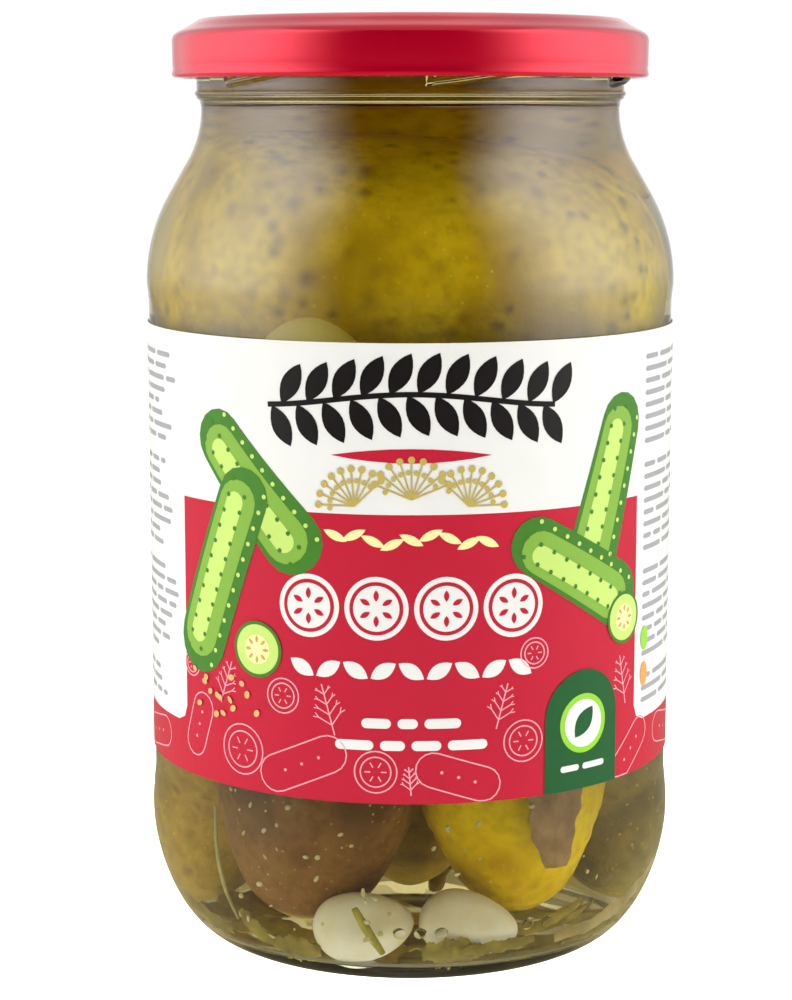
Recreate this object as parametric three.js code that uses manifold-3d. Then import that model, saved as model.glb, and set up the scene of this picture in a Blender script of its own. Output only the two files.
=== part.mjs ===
import * as THREE from "three";
import * as BufferGeometryUtils from "three/addons/utils/BufferGeometryUtils.js";
import Module from "manifold-3d";

const wasm = await Module();
wasm.setup();

// A shut glass jar of pickled cucumbers, in millimetres.
// +Z is up, the origin is in the middle of the base, and the label's front faces -Y.

// Driving dimensions of the glass
const SIDES = 48;
const REST_RING_INNER = 33.5;
const REST_RING_OUTER = 36.8;
const PUSH_UP = 2.2;
const HEEL_RADIUS = 47.9;
const HEEL_HEIGHT = 22;
const HEEL_ROUNDNESS = 1.7;
const PANEL_RADIUS = 47.35;
const PANEL_BOTTOM = 30.5;
const PANEL_TOP = 116;
const SHOULDER_RADIUS = 47.65;
const SHOULDER_START = 119;
const SHOULDER_SLOPE = THREE.MathUtils.degToRad(30);
const SHOULDER_ARC = 32;
const NECK_ARC = 18.4;
const NECK_RADIUS = 37.5;
const BEAD_RADIUS = 38.65;
const BEAD_LOW = 151.2;
const BEAD_HIGH = 153.6;
const FINISH_RADIUS = 38.3;
const BRIM_HEIGHT = 164.0;
const BRIM_ROUND = 1.6;
const WALL = 2.3;
const MOUTH_RADIUS = 35;
const FLOOR_HEIGHT = 4.2;
const FLOOR_RADIUS = 35.5;
const FLOOR_RISE = 1.2;

// The six starts of the screw thread on the finish, and the six lugs of the lid that hook under them
const STARTS = 6;
const THREAD_RADIUS = 39.8;
const THREAD_BAR = 0.95;
const THREAD_LOW = 154.1;
const THREAD_RISE = 4.6;
const THREAD_SWEEP = THREE.MathUtils.degToRad(50);
const THREAD_FIRST = THREE.MathUtils.degToRad(-56);
const LUG_INNER = 39.2;
const LUG_HEIGHT = 1.3;
const LUG_HALF_WIDTH = THREE.MathUtils.degToRad(5);
const LUG_AHEAD = THREE.MathUtils.degToRad(43);

// Driving dimensions of the twist-off lid
const LID_RADIUS = 42.6;
const LID_BOTTOM = 155.2;
const LID_TOP = 165.6;
const LID_SHEET = 0.5;
const LID_CURL = 1.5;
const LID_STEP_DROP = 2.1;
const LID_SKIRT_DROP = 3.7;
const CROWN_RADIUS = 37.5;
const CROWN_WIDTH = 2.6;
const PANEL_DROP = 1.1;
const BUTTON_RADIUS = 14;
const BUTTON_RISE = 0.6;
const SEAL_DEPTH = 0.8;

// The paper label
const LABEL_BOTTOM = 34.5;
const LABEL_TOP = 112.2;
const LABEL_GAP = 0.1;
const LABEL_THICKNESS = 0.2;

// Clearance between the food and the glass
const FOOD_GAP = 0.6;

// Pickled cucumbers: both ends of each one's axis, its radius and how far its middle bows sideways.
// The middle one is the core of the heap, and the others are pressed against it.
const CUCUMBERS = [
  { low: [0, 1, 9.5], high: [1, 2, 112], radius: 14.5, bow: 0 },
  { low: [-15.5, -19.5, 9.5], high: [-16, -33.5, 116], radius: 16.4, bow: 0.8 },
  { low: [16, -20, 10.5], high: [17.5, -21, 103], radius: 15.8, bow: -0.8 },
  { low: [-27.5, 7, 7.2], high: [-29, 7, 103], radius: 15.4, bow: 1 },
  { low: [27.5, 7.5, 7.6], high: [28.5, 9, 106], radius: 15.6, bow: -1 },
  { low: [-3, 25, 6.8], high: [-4, 26, 118], radius: 17, bow: 0.6 },
  { low: [-44, -12, 126.5], high: [42.5, -13, 117.5], radius: 23.4, bow: 1.5 },
  { low: [-33, 17, 138], high: [34, 18, 139], radius: 16.8, bow: 0.5 },
];
const CUCUMBER_SIDES = 12;
const CUCUMBER_RINGS = 9;
const CUCUMBER_END_POWER = 3;
const CUCUMBER_END_ROUND = 0.52;

// Garlic cloves: centre, half sizes and how far each is tipped, in degrees about Y and Z
const CLOVES = [
  { centre: [-7.6, -31.6, 10.1], half: [8.2, 5.2, 5.6], tip: -8, turn: 6 },
  { centre: [9.4, -31, 10.3], half: [8.2, 5, 5.2], tip: 10, turn: -10 },
];

// Dill stalks: the points of each one's middle line as radius, angle from the front and height
const STALKS = [
  { radius: 0.8, path: [[41.3, -13, 14.8], [40.4, -10.5, 11.2], [38.0, -7, 6.6]] },
  { radius: 0.45, path: [[43.6, -49, 29], [43.4, -48.5, 22], [42.6, -47, 15], [40.4, -45.5, 9.5]] },
];

// The bay leaf: its middle, half sizes, wave and thickness; it lies along the glass
const LEAF_ANGLE = 33.5;
const LEAF_RADIUS = 43.75;
const LEAF_LOW = 20.5;
const LEAF_LENGTH = 27;
const LEAF_HALF_WIDTH = 5.6;
const LEAF_WAVE = 0.32;
const LEAF_THICKNESS = 0.45;
const LEAF_COLUMNS = 6;
const LEAF_ROWS = 10;

// Points of an arc in the plane of radius and height, angles measured from the outward direction
function arc(centreRadius, centreHeight, radius, from, to, steps) {
  const points = [];
  for (let i = 0; i <= steps; i += 1) {
    const angle = from + ((to - from) * i) / steps;
    points.push([centreRadius + radius * Math.cos(angle), centreHeight + radius * Math.sin(angle)]);
  }
  return points;
}

// A rounded corner between a flat floor and an upright wall, as a quarter of a superellipse
function heel(floorRadius, floorHeight, wallRadius, wallHeight, roundness, steps) {
  const points = [];
  for (let i = 0; i <= steps; i += 1) {
    const t = (i / steps) ** 1.6;
    const reach = (1 - (1 - t) ** roundness) ** (1 / roundness);
    points.push([
      floorRadius + (wallRadius - floorRadius) * reach,
      floorHeight + (wallHeight - floorHeight) * t,
    ]);
  }
  return points;
}

// The shoulder: a round bulge, a straight slope and a hollow curve into the neck.
// A positive inset gives the same curve on the inside of the glass.
function shoulder(inset, bulgeSteps, hollowSteps) {
  const drop = SHOULDER_RADIUS - NECK_RADIUS;
  const fall = (SHOULDER_ARC + NECK_ARC) * (1 - Math.cos(SHOULDER_SLOPE));
  const slopeLength = (drop - fall) / Math.sin(SHOULDER_SLOPE);
  const neckHeight = SHOULDER_START + (SHOULDER_ARC + NECK_ARC) * Math.sin(SHOULDER_SLOPE)
    + slopeLength * Math.cos(SHOULDER_SLOPE);
  const bulge = arc(
    SHOULDER_RADIUS - SHOULDER_ARC, SHOULDER_START, SHOULDER_ARC - inset, 0, SHOULDER_SLOPE, bulgeSteps,
  );
  const hollow = arc(
    NECK_RADIUS + NECK_ARC, neckHeight, NECK_ARC + inset, Math.PI + SHOULDER_SLOPE, Math.PI, hollowSteps,
  );
  return [...bulge, ...hollow];
}

// Turns a list of [radius, height] points into a solid of revolution about Z
function turned(points, sides = SIDES) {
  const profile = points.map(([radius, height]) => new THREE.Vector2(radius, height));
  return clean(new THREE.LatheGeometry(profile, sides).rotateX(Math.PI / 2));
}

// Merges shared corners, drops triangles without area and turns all faces outwards
function clean(geometry) {
  const bare = geometry.clone();
  bare.deleteAttribute("normal");
  bare.deleteAttribute("uv");
  const merged = BufferGeometryUtils.mergeVertices(bare, 1e-4);
  const index = merged.getIndex();
  const kept = [];
  for (let i = 0; i < index.count; i += 3) {
    const [a, b, c] = [index.getX(i), index.getX(i + 1), index.getX(i + 2)];
    if (a !== b && b !== c && c !== a) kept.push(a, b, c);
  }
  merged.setIndex(kept);
  if (signedVolume(merged) < 0) {
    for (let i = 0; i < kept.length; i += 3) [kept[i], kept[i + 1]] = [kept[i + 1], kept[i]];
    merged.setIndex(kept);
  }
  return merged;
}

function signedVolume(geometry) {
  const position = geometry.getAttribute("position");
  const index = geometry.getIndex();
  const corner = (i) => new THREE.Vector3().fromBufferAttribute(position, index.getX(i));
  let six = 0;
  for (let i = 0; i < index.count; i += 3) {
    six += corner(i).dot(corner(i + 1).cross(corner(i + 2)));
  }
  return six / 6;
}

// A closed mesh as a solid for joining and cutting, and back
function solid(geometry) {
  const closed = clean(geometry);
  return new wasm.Manifold(new wasm.Mesh({
    numProp: 3,
    vertProperties: new Float32Array(closed.getAttribute("position").array),
    triVerts: new Uint32Array(closed.getIndex().array),
  }));
}

function surface(manifold) {
  const mesh = manifold.getMesh();
  const geometry = new THREE.BufferGeometry();
  geometry.setAttribute("position", new THREE.BufferAttribute(mesh.vertProperties.slice(), 3));
  geometry.setIndex([...mesh.triVerts]);
  return geometry;
}

function joined(geometries) {
  return geometries.map(solid).reduce((whole, next) => whole.add(next));
}

// The inside of the jar from the middle of its floor up to the mouth, moved in by a clearance
function innerProfile(gap) {
  const wallRadius = PANEL_RADIUS - WALL + 0.05;
  const floor = [0, FLOOR_HEIGHT + FLOOR_RISE + gap];
  const corner = heel(
    FLOOR_RADIUS - gap, FLOOR_HEIGHT + gap, wallRadius - gap, HEEL_HEIGHT + 2, HEEL_ROUNDNESS + 0.1, 6,
  );
  const rise = shoulder(WALL + gap, 4, 3);
  return [floor, ...corner, ...rise];
}

// One bar of the screw thread, whose ends sink into the glass
class ThreadLine extends THREE.Curve {
  constructor(start) {
    super();
    this.start = start;
  }

  getPoint(t, target = new THREE.Vector3()) {
    const angle = this.start + THREAD_SWEEP * t;
    const proud = Math.min(1, Math.sin(Math.PI * t) * 3);
    const radius = FINISH_RADIUS - THREAD_BAR + (THREAD_RADIUS - FINISH_RADIUS) * proud;
    return target.set(radius * Math.sin(angle), -radius * Math.cos(angle), THREAD_LOW + THREAD_RISE * t);
  }
}

function threadBar(start) {
  const section = new THREE.Shape();
  section.absarc(0, 0, THREAD_BAR, 0, Math.PI * 2);
  return new THREE.ExtrudeGeometry(section, {
    steps: 9, curveSegments: 3, bevelEnabled: false, extrudePath: new ThreadLine(start),
  });
}

function glassJar() {
  const outside = [
    [0, PUSH_UP],
    [REST_RING_INNER * 0.6, PUSH_UP * 0.85],
    [REST_RING_INNER * 0.92, PUSH_UP * 0.35],
    [REST_RING_INNER, 0],
    ...heel(REST_RING_OUTER, 0, HEEL_RADIUS, HEEL_HEIGHT, HEEL_ROUNDNESS, 7),
    [(PANEL_RADIUS + HEEL_RADIUS) / 2, PANEL_BOTTOM - 2.5],
    [PANEL_RADIUS, PANEL_BOTTOM],
    [PANEL_RADIUS, PANEL_TOP],
    ...shoulder(0, 5, 4),
    [NECK_RADIUS + 0.3, BEAD_LOW],
    [BEAD_RADIUS, BEAD_LOW + 0.8],
    [BEAD_RADIUS, BEAD_HIGH - 0.7],
    [FINISH_RADIUS, BEAD_HIGH],
  ];
  const brim = [
    ...arc(FINISH_RADIUS - BRIM_ROUND, BRIM_HEIGHT - BRIM_ROUND, BRIM_ROUND, 0, Math.PI / 2, 3),
    [MOUTH_RADIUS + BRIM_ROUND / 2, BRIM_HEIGHT],
    [MOUTH_RADIUS, BRIM_HEIGHT - BRIM_ROUND],
  ];
  const profile = [...outside, ...brim, ...innerProfile(0).reverse()];
  const bars = [];
  for (let i = 0; i < STARTS; i += 1) {
    bars.push(threadBar(THREAD_FIRST + (i * 2 * Math.PI) / STARTS));
  }
  return surface(joined([turned(profile), ...bars]));
}

// One lug: a short block on the inside of the lid's edge
function lidLug(middle) {
  const outer = LID_RADIUS - LID_SHEET / 2;
  const shape = new THREE.Shape();
  shape.absarc(0, 0, outer, -LUG_HALF_WIDTH, LUG_HALF_WIDTH, false);
  shape.absarc(0, 0, LUG_INNER, LUG_HALF_WIDTH, -LUG_HALF_WIDTH, true);
  const block = new THREE.ExtrudeGeometry(shape, {
    depth: LUG_HEIGHT, bevelEnabled: false, curveSegments: 3,
  });
  return block.rotateZ(middle - Math.PI / 2).translate(0, 0, LID_BOTTOM + 0.15);
}

function lid() {
  const panel = LID_TOP - PANEL_DROP;
  const innerRadius = LID_RADIUS - LID_SHEET;
  const outside = [
    [0, panel + BUTTON_RISE],
    [BUTTON_RADIUS - 1.5, panel + BUTTON_RISE * 0.7],
    [BUTTON_RADIUS, panel],
    [CROWN_RADIUS - CROWN_WIDTH - PANEL_DROP, panel],
    [CROWN_RADIUS - CROWN_WIDTH, LID_TOP],
    [CROWN_RADIUS, LID_TOP],
    [LID_RADIUS - 2.8, LID_TOP - 1.3],
    [LID_RADIUS - 1.5, LID_TOP - LID_STEP_DROP],
    [LID_RADIUS - 0.5, LID_TOP - 2.7],
    [LID_RADIUS, LID_TOP - LID_SKIRT_DROP],
    ...arc(LID_RADIUS - LID_CURL / 2, LID_BOTTOM + LID_CURL / 2, LID_CURL / 2, 0, -Math.PI, 4),
  ];
  const inside = [
    [innerRadius, LID_BOTTOM + LID_CURL],
    [innerRadius, LID_TOP - LID_SKIRT_DROP],
    [LID_RADIUS - 1.5 - LID_SHEET, LID_TOP - LID_STEP_DROP - LID_SHEET],
    [CROWN_RADIUS + 2, LID_TOP - LID_SHEET - SEAL_DEPTH],
    [MOUTH_RADIUS, LID_TOP - LID_SHEET - SEAL_DEPTH],
    [MOUTH_RADIUS - 2, panel - LID_SHEET],
    [0, panel - LID_SHEET],
  ];
  const lugs = [];
  for (let i = 0; i < STARTS; i += 1) {
    lugs.push(lidLug(THREAD_FIRST + LUG_AHEAD + (i * 2 * Math.PI) / STARTS));
  }
  return surface(joined([turned([...outside, ...inside]), ...lugs]));
}

function label() {
  const inner = PANEL_RADIUS + LABEL_GAP;
  const outer = inner + LABEL_THICKNESS;
  return turned([
    [inner, LABEL_BOTTOM],
    [outer, LABEL_BOTTOM],
    [outer, LABEL_TOP],
    [inner, LABEL_TOP],
    [inner, LABEL_BOTTOM],
  ]);
}

// Places a shape made along Z between two points
function between(geometry, low, high) {
  const direction = high.clone().sub(low).normalize();
  const turn = new THREE.Quaternion().setFromUnitVectors(new THREE.Vector3(0, 0, 1), direction);
  geometry.applyQuaternion(turn);
  const middle = low.clone().add(high).multiplyScalar(0.5);
  return geometry.translate(middle.x, middle.y, middle.z);
}

function cucumber({ low, high, radius, bow }) {
  const start = new THREE.Vector3(...low);
  const end = new THREE.Vector3(...high);
  const length = start.distanceTo(end);
  const profile = [];
  for (let i = 0; i <= CUCUMBER_RINGS; i += 1) {
    const along = -Math.cos((Math.PI * i) / CUCUMBER_RINGS);
    const fullness = (1 - Math.abs(along) ** CUCUMBER_END_POWER) ** CUCUMBER_END_ROUND;
    profile.push([radius * fullness, (length / 2) * along]);
  }
  const body = turned(profile, CUCUMBER_SIDES);
  const position = body.getAttribute("position");
  for (let i = 0; i < position.count; i += 1) {
    const along = position.getZ(i) / (length / 2);
    position.setX(i, position.getX(i) + bow * (1 - along * along));
  }
  return between(body, start, end);
}

// The heap of cucumbers, fused into one solid and held clear of the glass
function pickles() {
  const room = turned([...innerProfile(FOOD_GAP), [MOUTH_RADIUS - FOOD_GAP, 152], [0, 152]]);
  return surface(joined(CUCUMBERS.map(cucumber)).intersect(solid(room)));
}

// A peeled clove: a flattened drop with one blunt end and one pointed end
function clove({ centre, half, tip, turn }) {
  const rings = 7;
  const profile = [];
  for (let i = 0; i <= rings; i += 1) {
    const along = -Math.cos((Math.PI * i) / rings);
    const fullness = Math.sqrt(1 - along * along) * (1 - 0.22 * along);
    profile.push([fullness, along]);
  }
  const body = turned(profile, 10).rotateY(Math.PI / 2).scale(...half);
  return body
    .rotateY(THREE.MathUtils.degToRad(tip))
    .rotateZ(THREE.MathUtils.degToRad(turn))
    .translate(...centre);
}

function onWall(radius, degrees, height) {
  const angle = THREE.MathUtils.degToRad(degrees);
  return new THREE.Vector3(radius * Math.sin(angle), -radius * Math.cos(angle), height);
}

function stalk({ radius, path }) {
  const section = new THREE.Shape();
  section.absarc(0, 0, radius, 0, Math.PI * 2);
  const line = new THREE.CatmullRomCurve3(path.map((point) => onWall(...point)));
  return clean(new THREE.ExtrudeGeometry(section, {
    steps: 8, curveSegments: 3, bevelEnabled: false, extrudePath: line,
  }));
}

// The leaf's middle surface: pointed at both ends and waved along and across
function leafPoint(across, along, lift) {
  const width = LEAF_HALF_WIDTH * (0.12 + 0.88 * Math.sin(Math.PI * (0.06 + 0.88 * along)) ** 0.8);
  const wave = LEAF_WAVE * Math.sin(along * 9 + across * 2);
  const radius = LEAF_RADIUS + wave + lift;
  const angle = LEAF_ANGLE + THREE.MathUtils.radToDeg((across * width) / LEAF_RADIUS);
  return onWall(radius, angle, LEAF_LOW + LEAF_LENGTH * along);
}

function leaf() {
  const corners = [];
  const triangles = [];
  const columns = LEAF_COLUMNS + 1;
  const sheet = columns * (LEAF_ROWS + 1);
  for (const lift of [-LEAF_THICKNESS / 2, LEAF_THICKNESS / 2]) {
    for (let row = 0; row <= LEAF_ROWS; row += 1) {
      for (let column = 0; column <= LEAF_COLUMNS; column += 1) {
        const point = leafPoint((2 * column) / LEAF_COLUMNS - 1, row / LEAF_ROWS, lift);
        corners.push(point.x, point.y, point.z);
      }
    }
  }
  const quad = (a, b, c, d) => triangles.push(a, b, c, a, c, d);
  for (let row = 0; row < LEAF_ROWS; row += 1) {
    for (let column = 0; column < LEAF_COLUMNS; column += 1) {
      const a = row * columns + column;
      const [b, c, d] = [a + 1, a + 1 + columns, a + columns];
      triangles.push(a + sheet, b + sheet, c + sheet, a + sheet, c + sheet, d + sheet);
      triangles.push(a, c, b, a, d, c);
    }
  }
  for (let column = 0; column < LEAF_COLUMNS; column += 1) {
    const last = LEAF_ROWS * columns + column;
    quad(column, column + 1, column + 1 + sheet, column + sheet);
    quad(last + 1, last, last + sheet, last + 1 + sheet);
  }
  for (let row = 0; row < LEAF_ROWS; row += 1) {
    const left = row * columns;
    const right = left + LEAF_COLUMNS;
    quad(left + columns, left, left + sheet, left + columns + sheet);
    quad(right, right + columns, right + columns + sheet, right + sheet);
  }
  const geometry = new THREE.BufferGeometry();
  geometry.setAttribute("position", new THREE.Float32BufferAttribute(corners, 3));
  geometry.setIndex(triangles);
  return clean(geometry);
}

const group = new THREE.Group();

function add(name, geometry, colour, roughness, metalness = 0) {
  const material = new THREE.MeshStandardMaterial({ color: colour, roughness, metalness });
  const mesh = new THREE.Mesh(geometry, material);
  mesh.name = name;
  group.add(mesh);
}

add("glass_jar", glassJar(), 0xb4c4b4, 0.05);
add("lid", lid(), 0xc8103c, 0.25, 0.6);
add("label", label(), 0xd63c52, 0.45);
add("pickles", pickles(), 0x9c8a2c, 0.6);
CLOVES.forEach((item, i) => add(`garlic_clove_${i + 1}`, clove(item), 0xd8cc9c, 0.5));
STALKS.forEach((item, i) => add(`dill_stalk_${i + 1}`, stalk(item), 0xa8a04c, 0.6));
add("bay_leaf", leaf(), 0x866f47, 0.6);

export default group;
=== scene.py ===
"""A shut glass jar of pickled cucumbers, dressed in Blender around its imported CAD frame.

Sizes are in millimetres in the classes below, and each mesh is scaled to metres where it is made.
+Z is up, -Y is the front of the label, and +X is to the right seen from the front.
"""

import logging
import math
from dataclasses import dataclass, field
from enum import Enum
from typing import Callable, Sequence

import bpy
import numpy as np
from mathutils import Matrix, Vector

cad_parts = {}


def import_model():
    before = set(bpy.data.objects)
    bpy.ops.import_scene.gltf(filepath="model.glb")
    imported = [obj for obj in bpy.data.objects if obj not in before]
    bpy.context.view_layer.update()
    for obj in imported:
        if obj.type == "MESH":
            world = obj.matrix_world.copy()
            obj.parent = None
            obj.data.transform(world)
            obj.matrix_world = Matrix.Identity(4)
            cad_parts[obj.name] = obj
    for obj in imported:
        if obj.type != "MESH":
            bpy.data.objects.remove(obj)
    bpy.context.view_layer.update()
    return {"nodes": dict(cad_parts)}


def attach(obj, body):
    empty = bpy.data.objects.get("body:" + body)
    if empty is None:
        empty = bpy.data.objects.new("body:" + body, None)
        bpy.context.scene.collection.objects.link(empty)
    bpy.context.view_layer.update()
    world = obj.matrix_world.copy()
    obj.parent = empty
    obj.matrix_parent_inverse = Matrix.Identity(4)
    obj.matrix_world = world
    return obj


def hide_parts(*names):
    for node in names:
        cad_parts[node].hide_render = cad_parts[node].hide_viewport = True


MM = 0.001
BODY = "root"
LOG = logging.getLogger("pickle_jar")

Point2 = tuple[float, float]
Point3 = tuple[float, float, float]


# Colours and nodes


def linear(hex_colour: str) -> tuple[float, float, float, float]:
    """Turn an sRGB hex colour into the linear values that Blender's sockets take.

    Args:
        hex_colour: six hexadecimal digits after a number sign.

    Returns:
        Red, green, blue and an alpha of 1.
    """
    channels = [int(hex_colour[i : i + 2], 16) / 255 for i in (1, 3, 5)]
    values = [c / 12.92 if c <= 0.04045 else ((c + 0.055) / 1.055) ** 2.4 for c in channels]
    return (values[0], values[1], values[2], 1.0)


def add_node(tree: bpy.types.NodeTree, kind: str, settings: dict | None = None,
             inputs: dict | None = None) -> bpy.types.Node:
    """Add one node with its settings and its links or values.

    Args:
        tree: the node tree that gets the node.
        kind: the node's type name.
        settings: the node's own properties by name.
        inputs: for each input, by name or index, a value or the output socket to link.

    Returns:
        The new node.
    """
    node = tree.nodes.new(kind)
    for name, value in (settings or {}).items():
        setattr(node, name, value)
    for name, value in (inputs or {}).items():
        if isinstance(value, bpy.types.NodeSocket):
            tree.links.new(value, node.inputs[name])
        else:
            node.inputs[name].default_value = value
    return node


def add_ramp(tree: bpy.types.NodeTree, factor: bpy.types.NodeSocket,
             stops: Sequence[tuple[float, str]]) -> bpy.types.NodeSocket:
    """Add a colour ramp.

    Args:
        tree: the node tree.
        factor: the output that drives the ramp.
        stops: position and hex colour of each stop, in order.

    Returns:
        The ramp's colour output.
    """
    ramp = add_node(tree, "ShaderNodeValToRGB", inputs={"Fac": factor})
    elements = ramp.color_ramp.elements
    while len(elements) < len(stops):
        elements.new(0.5)
    for element, (position, colour) in zip(elements, stops):
        element.position = position
        element.color = linear(colour)
    return ramp.outputs["Color"]


def mixed(tree: bpy.types.NodeTree, factor: bpy.types.NodeSocket | float,
          first: bpy.types.NodeSocket | tuple, second: bpy.types.NodeSocket | tuple,
          blend: str = "MIX") -> bpy.types.NodeSocket:
    """Mix two colours.

    Args:
        tree: the node tree.
        factor: how much of the second colour shows.
        first: the colour at factor 0.
        second: the colour at factor 1.
        blend: the blend type.

    Returns:
        The mixed colour's output.
    """
    settings = {"data_type": "RGBA", "blend_type": blend}
    node = add_node(tree, "ShaderNodeMix", settings, {0: factor, 6: first, 7: second})
    return node.outputs[2]


def scaled_value(tree: bpy.types.NodeTree, value: bpy.types.NodeSocket, low: float, high: float,
                 from_low: float = 0.0, from_high: float = 1.0) -> bpy.types.NodeSocket:
    """Map a value from one range to another, clamped.

    Args:
        tree: the node tree.
        value: the output to map.
        low: the result at from_low.
        high: the result at from_high.
        from_low: the start of the input's range.
        from_high: the end of the input's range.

    Returns:
        The mapped output.
    """
    inputs = {"Value": value, "From Min": from_low, "From Max": from_high, "To Min": low, "To Max": high}
    return add_node(tree, "ShaderNodeMapRange", inputs=inputs).outputs["Result"]


def new_material(name: str) -> tuple[bpy.types.Material, bpy.types.NodeTree]:
    """Make an empty node material.

    Args:
        name: the material's name.

    Returns:
        The material and its node tree, with no nodes in it.
    """
    material = bpy.data.materials.new(name)
    material.use_nodes = True
    material.node_tree.nodes.clear()
    return material, material.node_tree


def place_of(tree: bpy.types.NodeTree) -> bpy.types.NodeSocket:
    """Return the Object coordinates of the piece."""
    return add_node(tree, "ShaderNodeTexCoord").outputs["Object"]


def noise(tree: bpy.types.NodeTree, size_mm: float, detail: float = 2.0,
          stretch: Point3 = (1, 1, 1)) -> bpy.types.NodeSocket:
    """Add noise with features of a real size.

    Args:
        tree: the node tree.
        size_mm: the size of one feature.
        detail: how many finer layers it has.
        stretch: how many times as dense it is along each axis.

    Returns:
        The noise's value output.
    """
    mapping = add_node(tree, "ShaderNodeMapping", inputs={"Vector": place_of(tree), "Scale": stretch})
    inputs = {"Vector": mapping.outputs["Vector"], "Scale": 1 / (size_mm * MM), "Detail": detail}
    return add_node(tree, "ShaderNodeTexNoise", inputs=inputs).outputs["Fac"]


# Finishes


@dataclass(frozen=True)
class ClearGlass:
    """Soda-lime container glass, pressed in a mould: hard clear gloss and a faint green in its thick parts."""

    ior: float = 1.52
    tint: str = "#FCFEFC"

    def make(self) -> bpy.types.Material:
        """Return the glass, which lets lamps shine through it."""
        material, tree = new_material("soda_lime_glass")
        glass = add_node(tree, "ShaderNodeBsdfPrincipled", inputs={
            "Base Color": linear(self.tint), "Roughness": 0.0, "IOR": self.ior, "Transmission Weight": 1.0})
        finish_through(tree, glass.outputs["BSDF"], self.tint)
        return material


@dataclass(frozen=True)
class Brine:
    """Vinegar brine with dill and turmeric in it: a thin clear yellow-olive liquid that darkens with depth."""

    ior: float = 1.34
    tint: str = "#FFFFFF"
    absorbed: str = "#F5EDC6"
    density: float = 42.0

    def make(self) -> bpy.types.Material:
        """Return the liquid, with a plain absorption through its depth."""
        material, tree = new_material("vinegar_brine")
        liquid = add_node(tree, "ShaderNodeBsdfPrincipled", inputs={
            "Base Color": linear(self.tint), "Roughness": 0.0, "IOR": self.ior, "Transmission Weight": 1.0})
        output = finish_through(tree, liquid.outputs["BSDF"], self.tint)
        absorption = add_node(tree, "ShaderNodeVolumeAbsorption", inputs={
            "Color": linear(self.absorbed), "Density": self.density})
        tree.links.new(absorption.outputs["Volume"], output.inputs["Volume"])
        return material


def finish_through(tree: bpy.types.NodeTree, surface: bpy.types.NodeSocket, tint: str) -> bpy.types.Node:
    """Join a clear shader to the output so that lamps shine through the piece.

    Args:
        tree: the node tree.
        surface: the clear shader's output.
        tint: the colour of the light that passes.

    Returns:
        The material output node.
    """
    path = add_node(tree, "ShaderNodeLightPath")
    passing = add_node(tree, "ShaderNodeBsdfTransparent", inputs={"Color": linear(tint)})
    mix = add_node(tree, "ShaderNodeMixShader", inputs={
        0: path.outputs["Is Shadow Ray"], 1: surface, 2: passing.outputs["BSDF"]})
    return add_node(tree, "ShaderNodeOutputMaterial", inputs={"Surface": mix.outputs["Shader"]})


@dataclass(frozen=True)
class LidEnamel:
    """Red lacquer, rolled on tinplate and baked: deep gloss with the metal shining through the colour."""

    colour: str = "#DE022E"
    roughness: float = 0.24

    def make(self) -> bpy.types.Material:
        """Return the lacquered tinplate."""
        material, tree = new_material("lacquered_tinplate")
        tone = mixed(tree, scaled_value(tree, noise(tree, 30, 2.0), 0.0, 0.25, 0.35, 0.65),
                     linear(self.colour), linear("#B40228"))
        orange_peel = add_node(tree, "ShaderNodeBump", inputs={
            "Height": noise(tree, 1.2, 2.0), "Distance": 0.01 * MM, "Strength": 0.25})
        enamel = add_node(tree, "ShaderNodeBsdfPrincipled", inputs={
            "Base Color": tone, "Metallic": 0.5, "Roughness": self.roughness, "Coat Weight": 0.55,
            "Coat Roughness": 0.04, "Normal": orange_peel.outputs["Normal"]})
        add_node(tree, "ShaderNodeOutputMaterial", inputs={"Surface": enamel.outputs["BSDF"]})
        return material


@dataclass(frozen=True)
class LinerPlastisol:
    """White plastisol sealing compound, flowed into the lid and cured: soft, dull and slightly mottled."""

    colour: str = "#DAD7CE"

    def make(self) -> bpy.types.Material:
        """Return the sealing compound."""
        material, tree = new_material("plastisol_seal")
        tone = mixed(tree, noise(tree, 3.0, 2.0), linear(self.colour), linear("#C9C5B8"))
        body = add_node(tree, "ShaderNodeBsdfPrincipled", inputs={"Base Color": tone, "Roughness": 0.5})
        add_node(tree, "ShaderNodeOutputMaterial", inputs={"Surface": body.outputs["BSDF"]})
        return material


@dataclass(frozen=True)
class CoatedPaper:
    """Clay-coated label paper, printed and varnished: even colour, a soft gloss and a fine paper tooth."""

    name: str
    colour: str
    roughness: float = 0.36
    mottle: float = 0.12

    def make(self) -> bpy.types.Material:
        """Return the printed paper in this ink's colour."""
        material, tree = new_material(f"coated_paper_{self.name}")
        base = linear(self.colour)
        deeper = tuple(c * 0.86 for c in base[:3]) + (1.0,)
        tone = mixed(tree, scaled_value(tree, noise(tree, 9.0, 1.0), 0.0, self.mottle * 2, 0.3, 0.7),
                     base, deeper)
        tooth = add_node(tree, "ShaderNodeBump", inputs={
            "Height": noise(tree, 0.5, 0.0), "Distance": 0.01 * MM, "Strength": 0.15})
        paper = add_node(tree, "ShaderNodeBsdfPrincipled", inputs={
            "Base Color": tone, "Roughness": self.roughness, "Specular IOR Level": 0.22,
            "Coat Weight": 0.08, "Coat Roughness": 0.12, "Normal": tooth.outputs["Normal"]})
        add_node(tree, "ShaderNodeOutputMaterial", inputs={"Surface": paper.outputs["BSDF"]})
        return material


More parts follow.
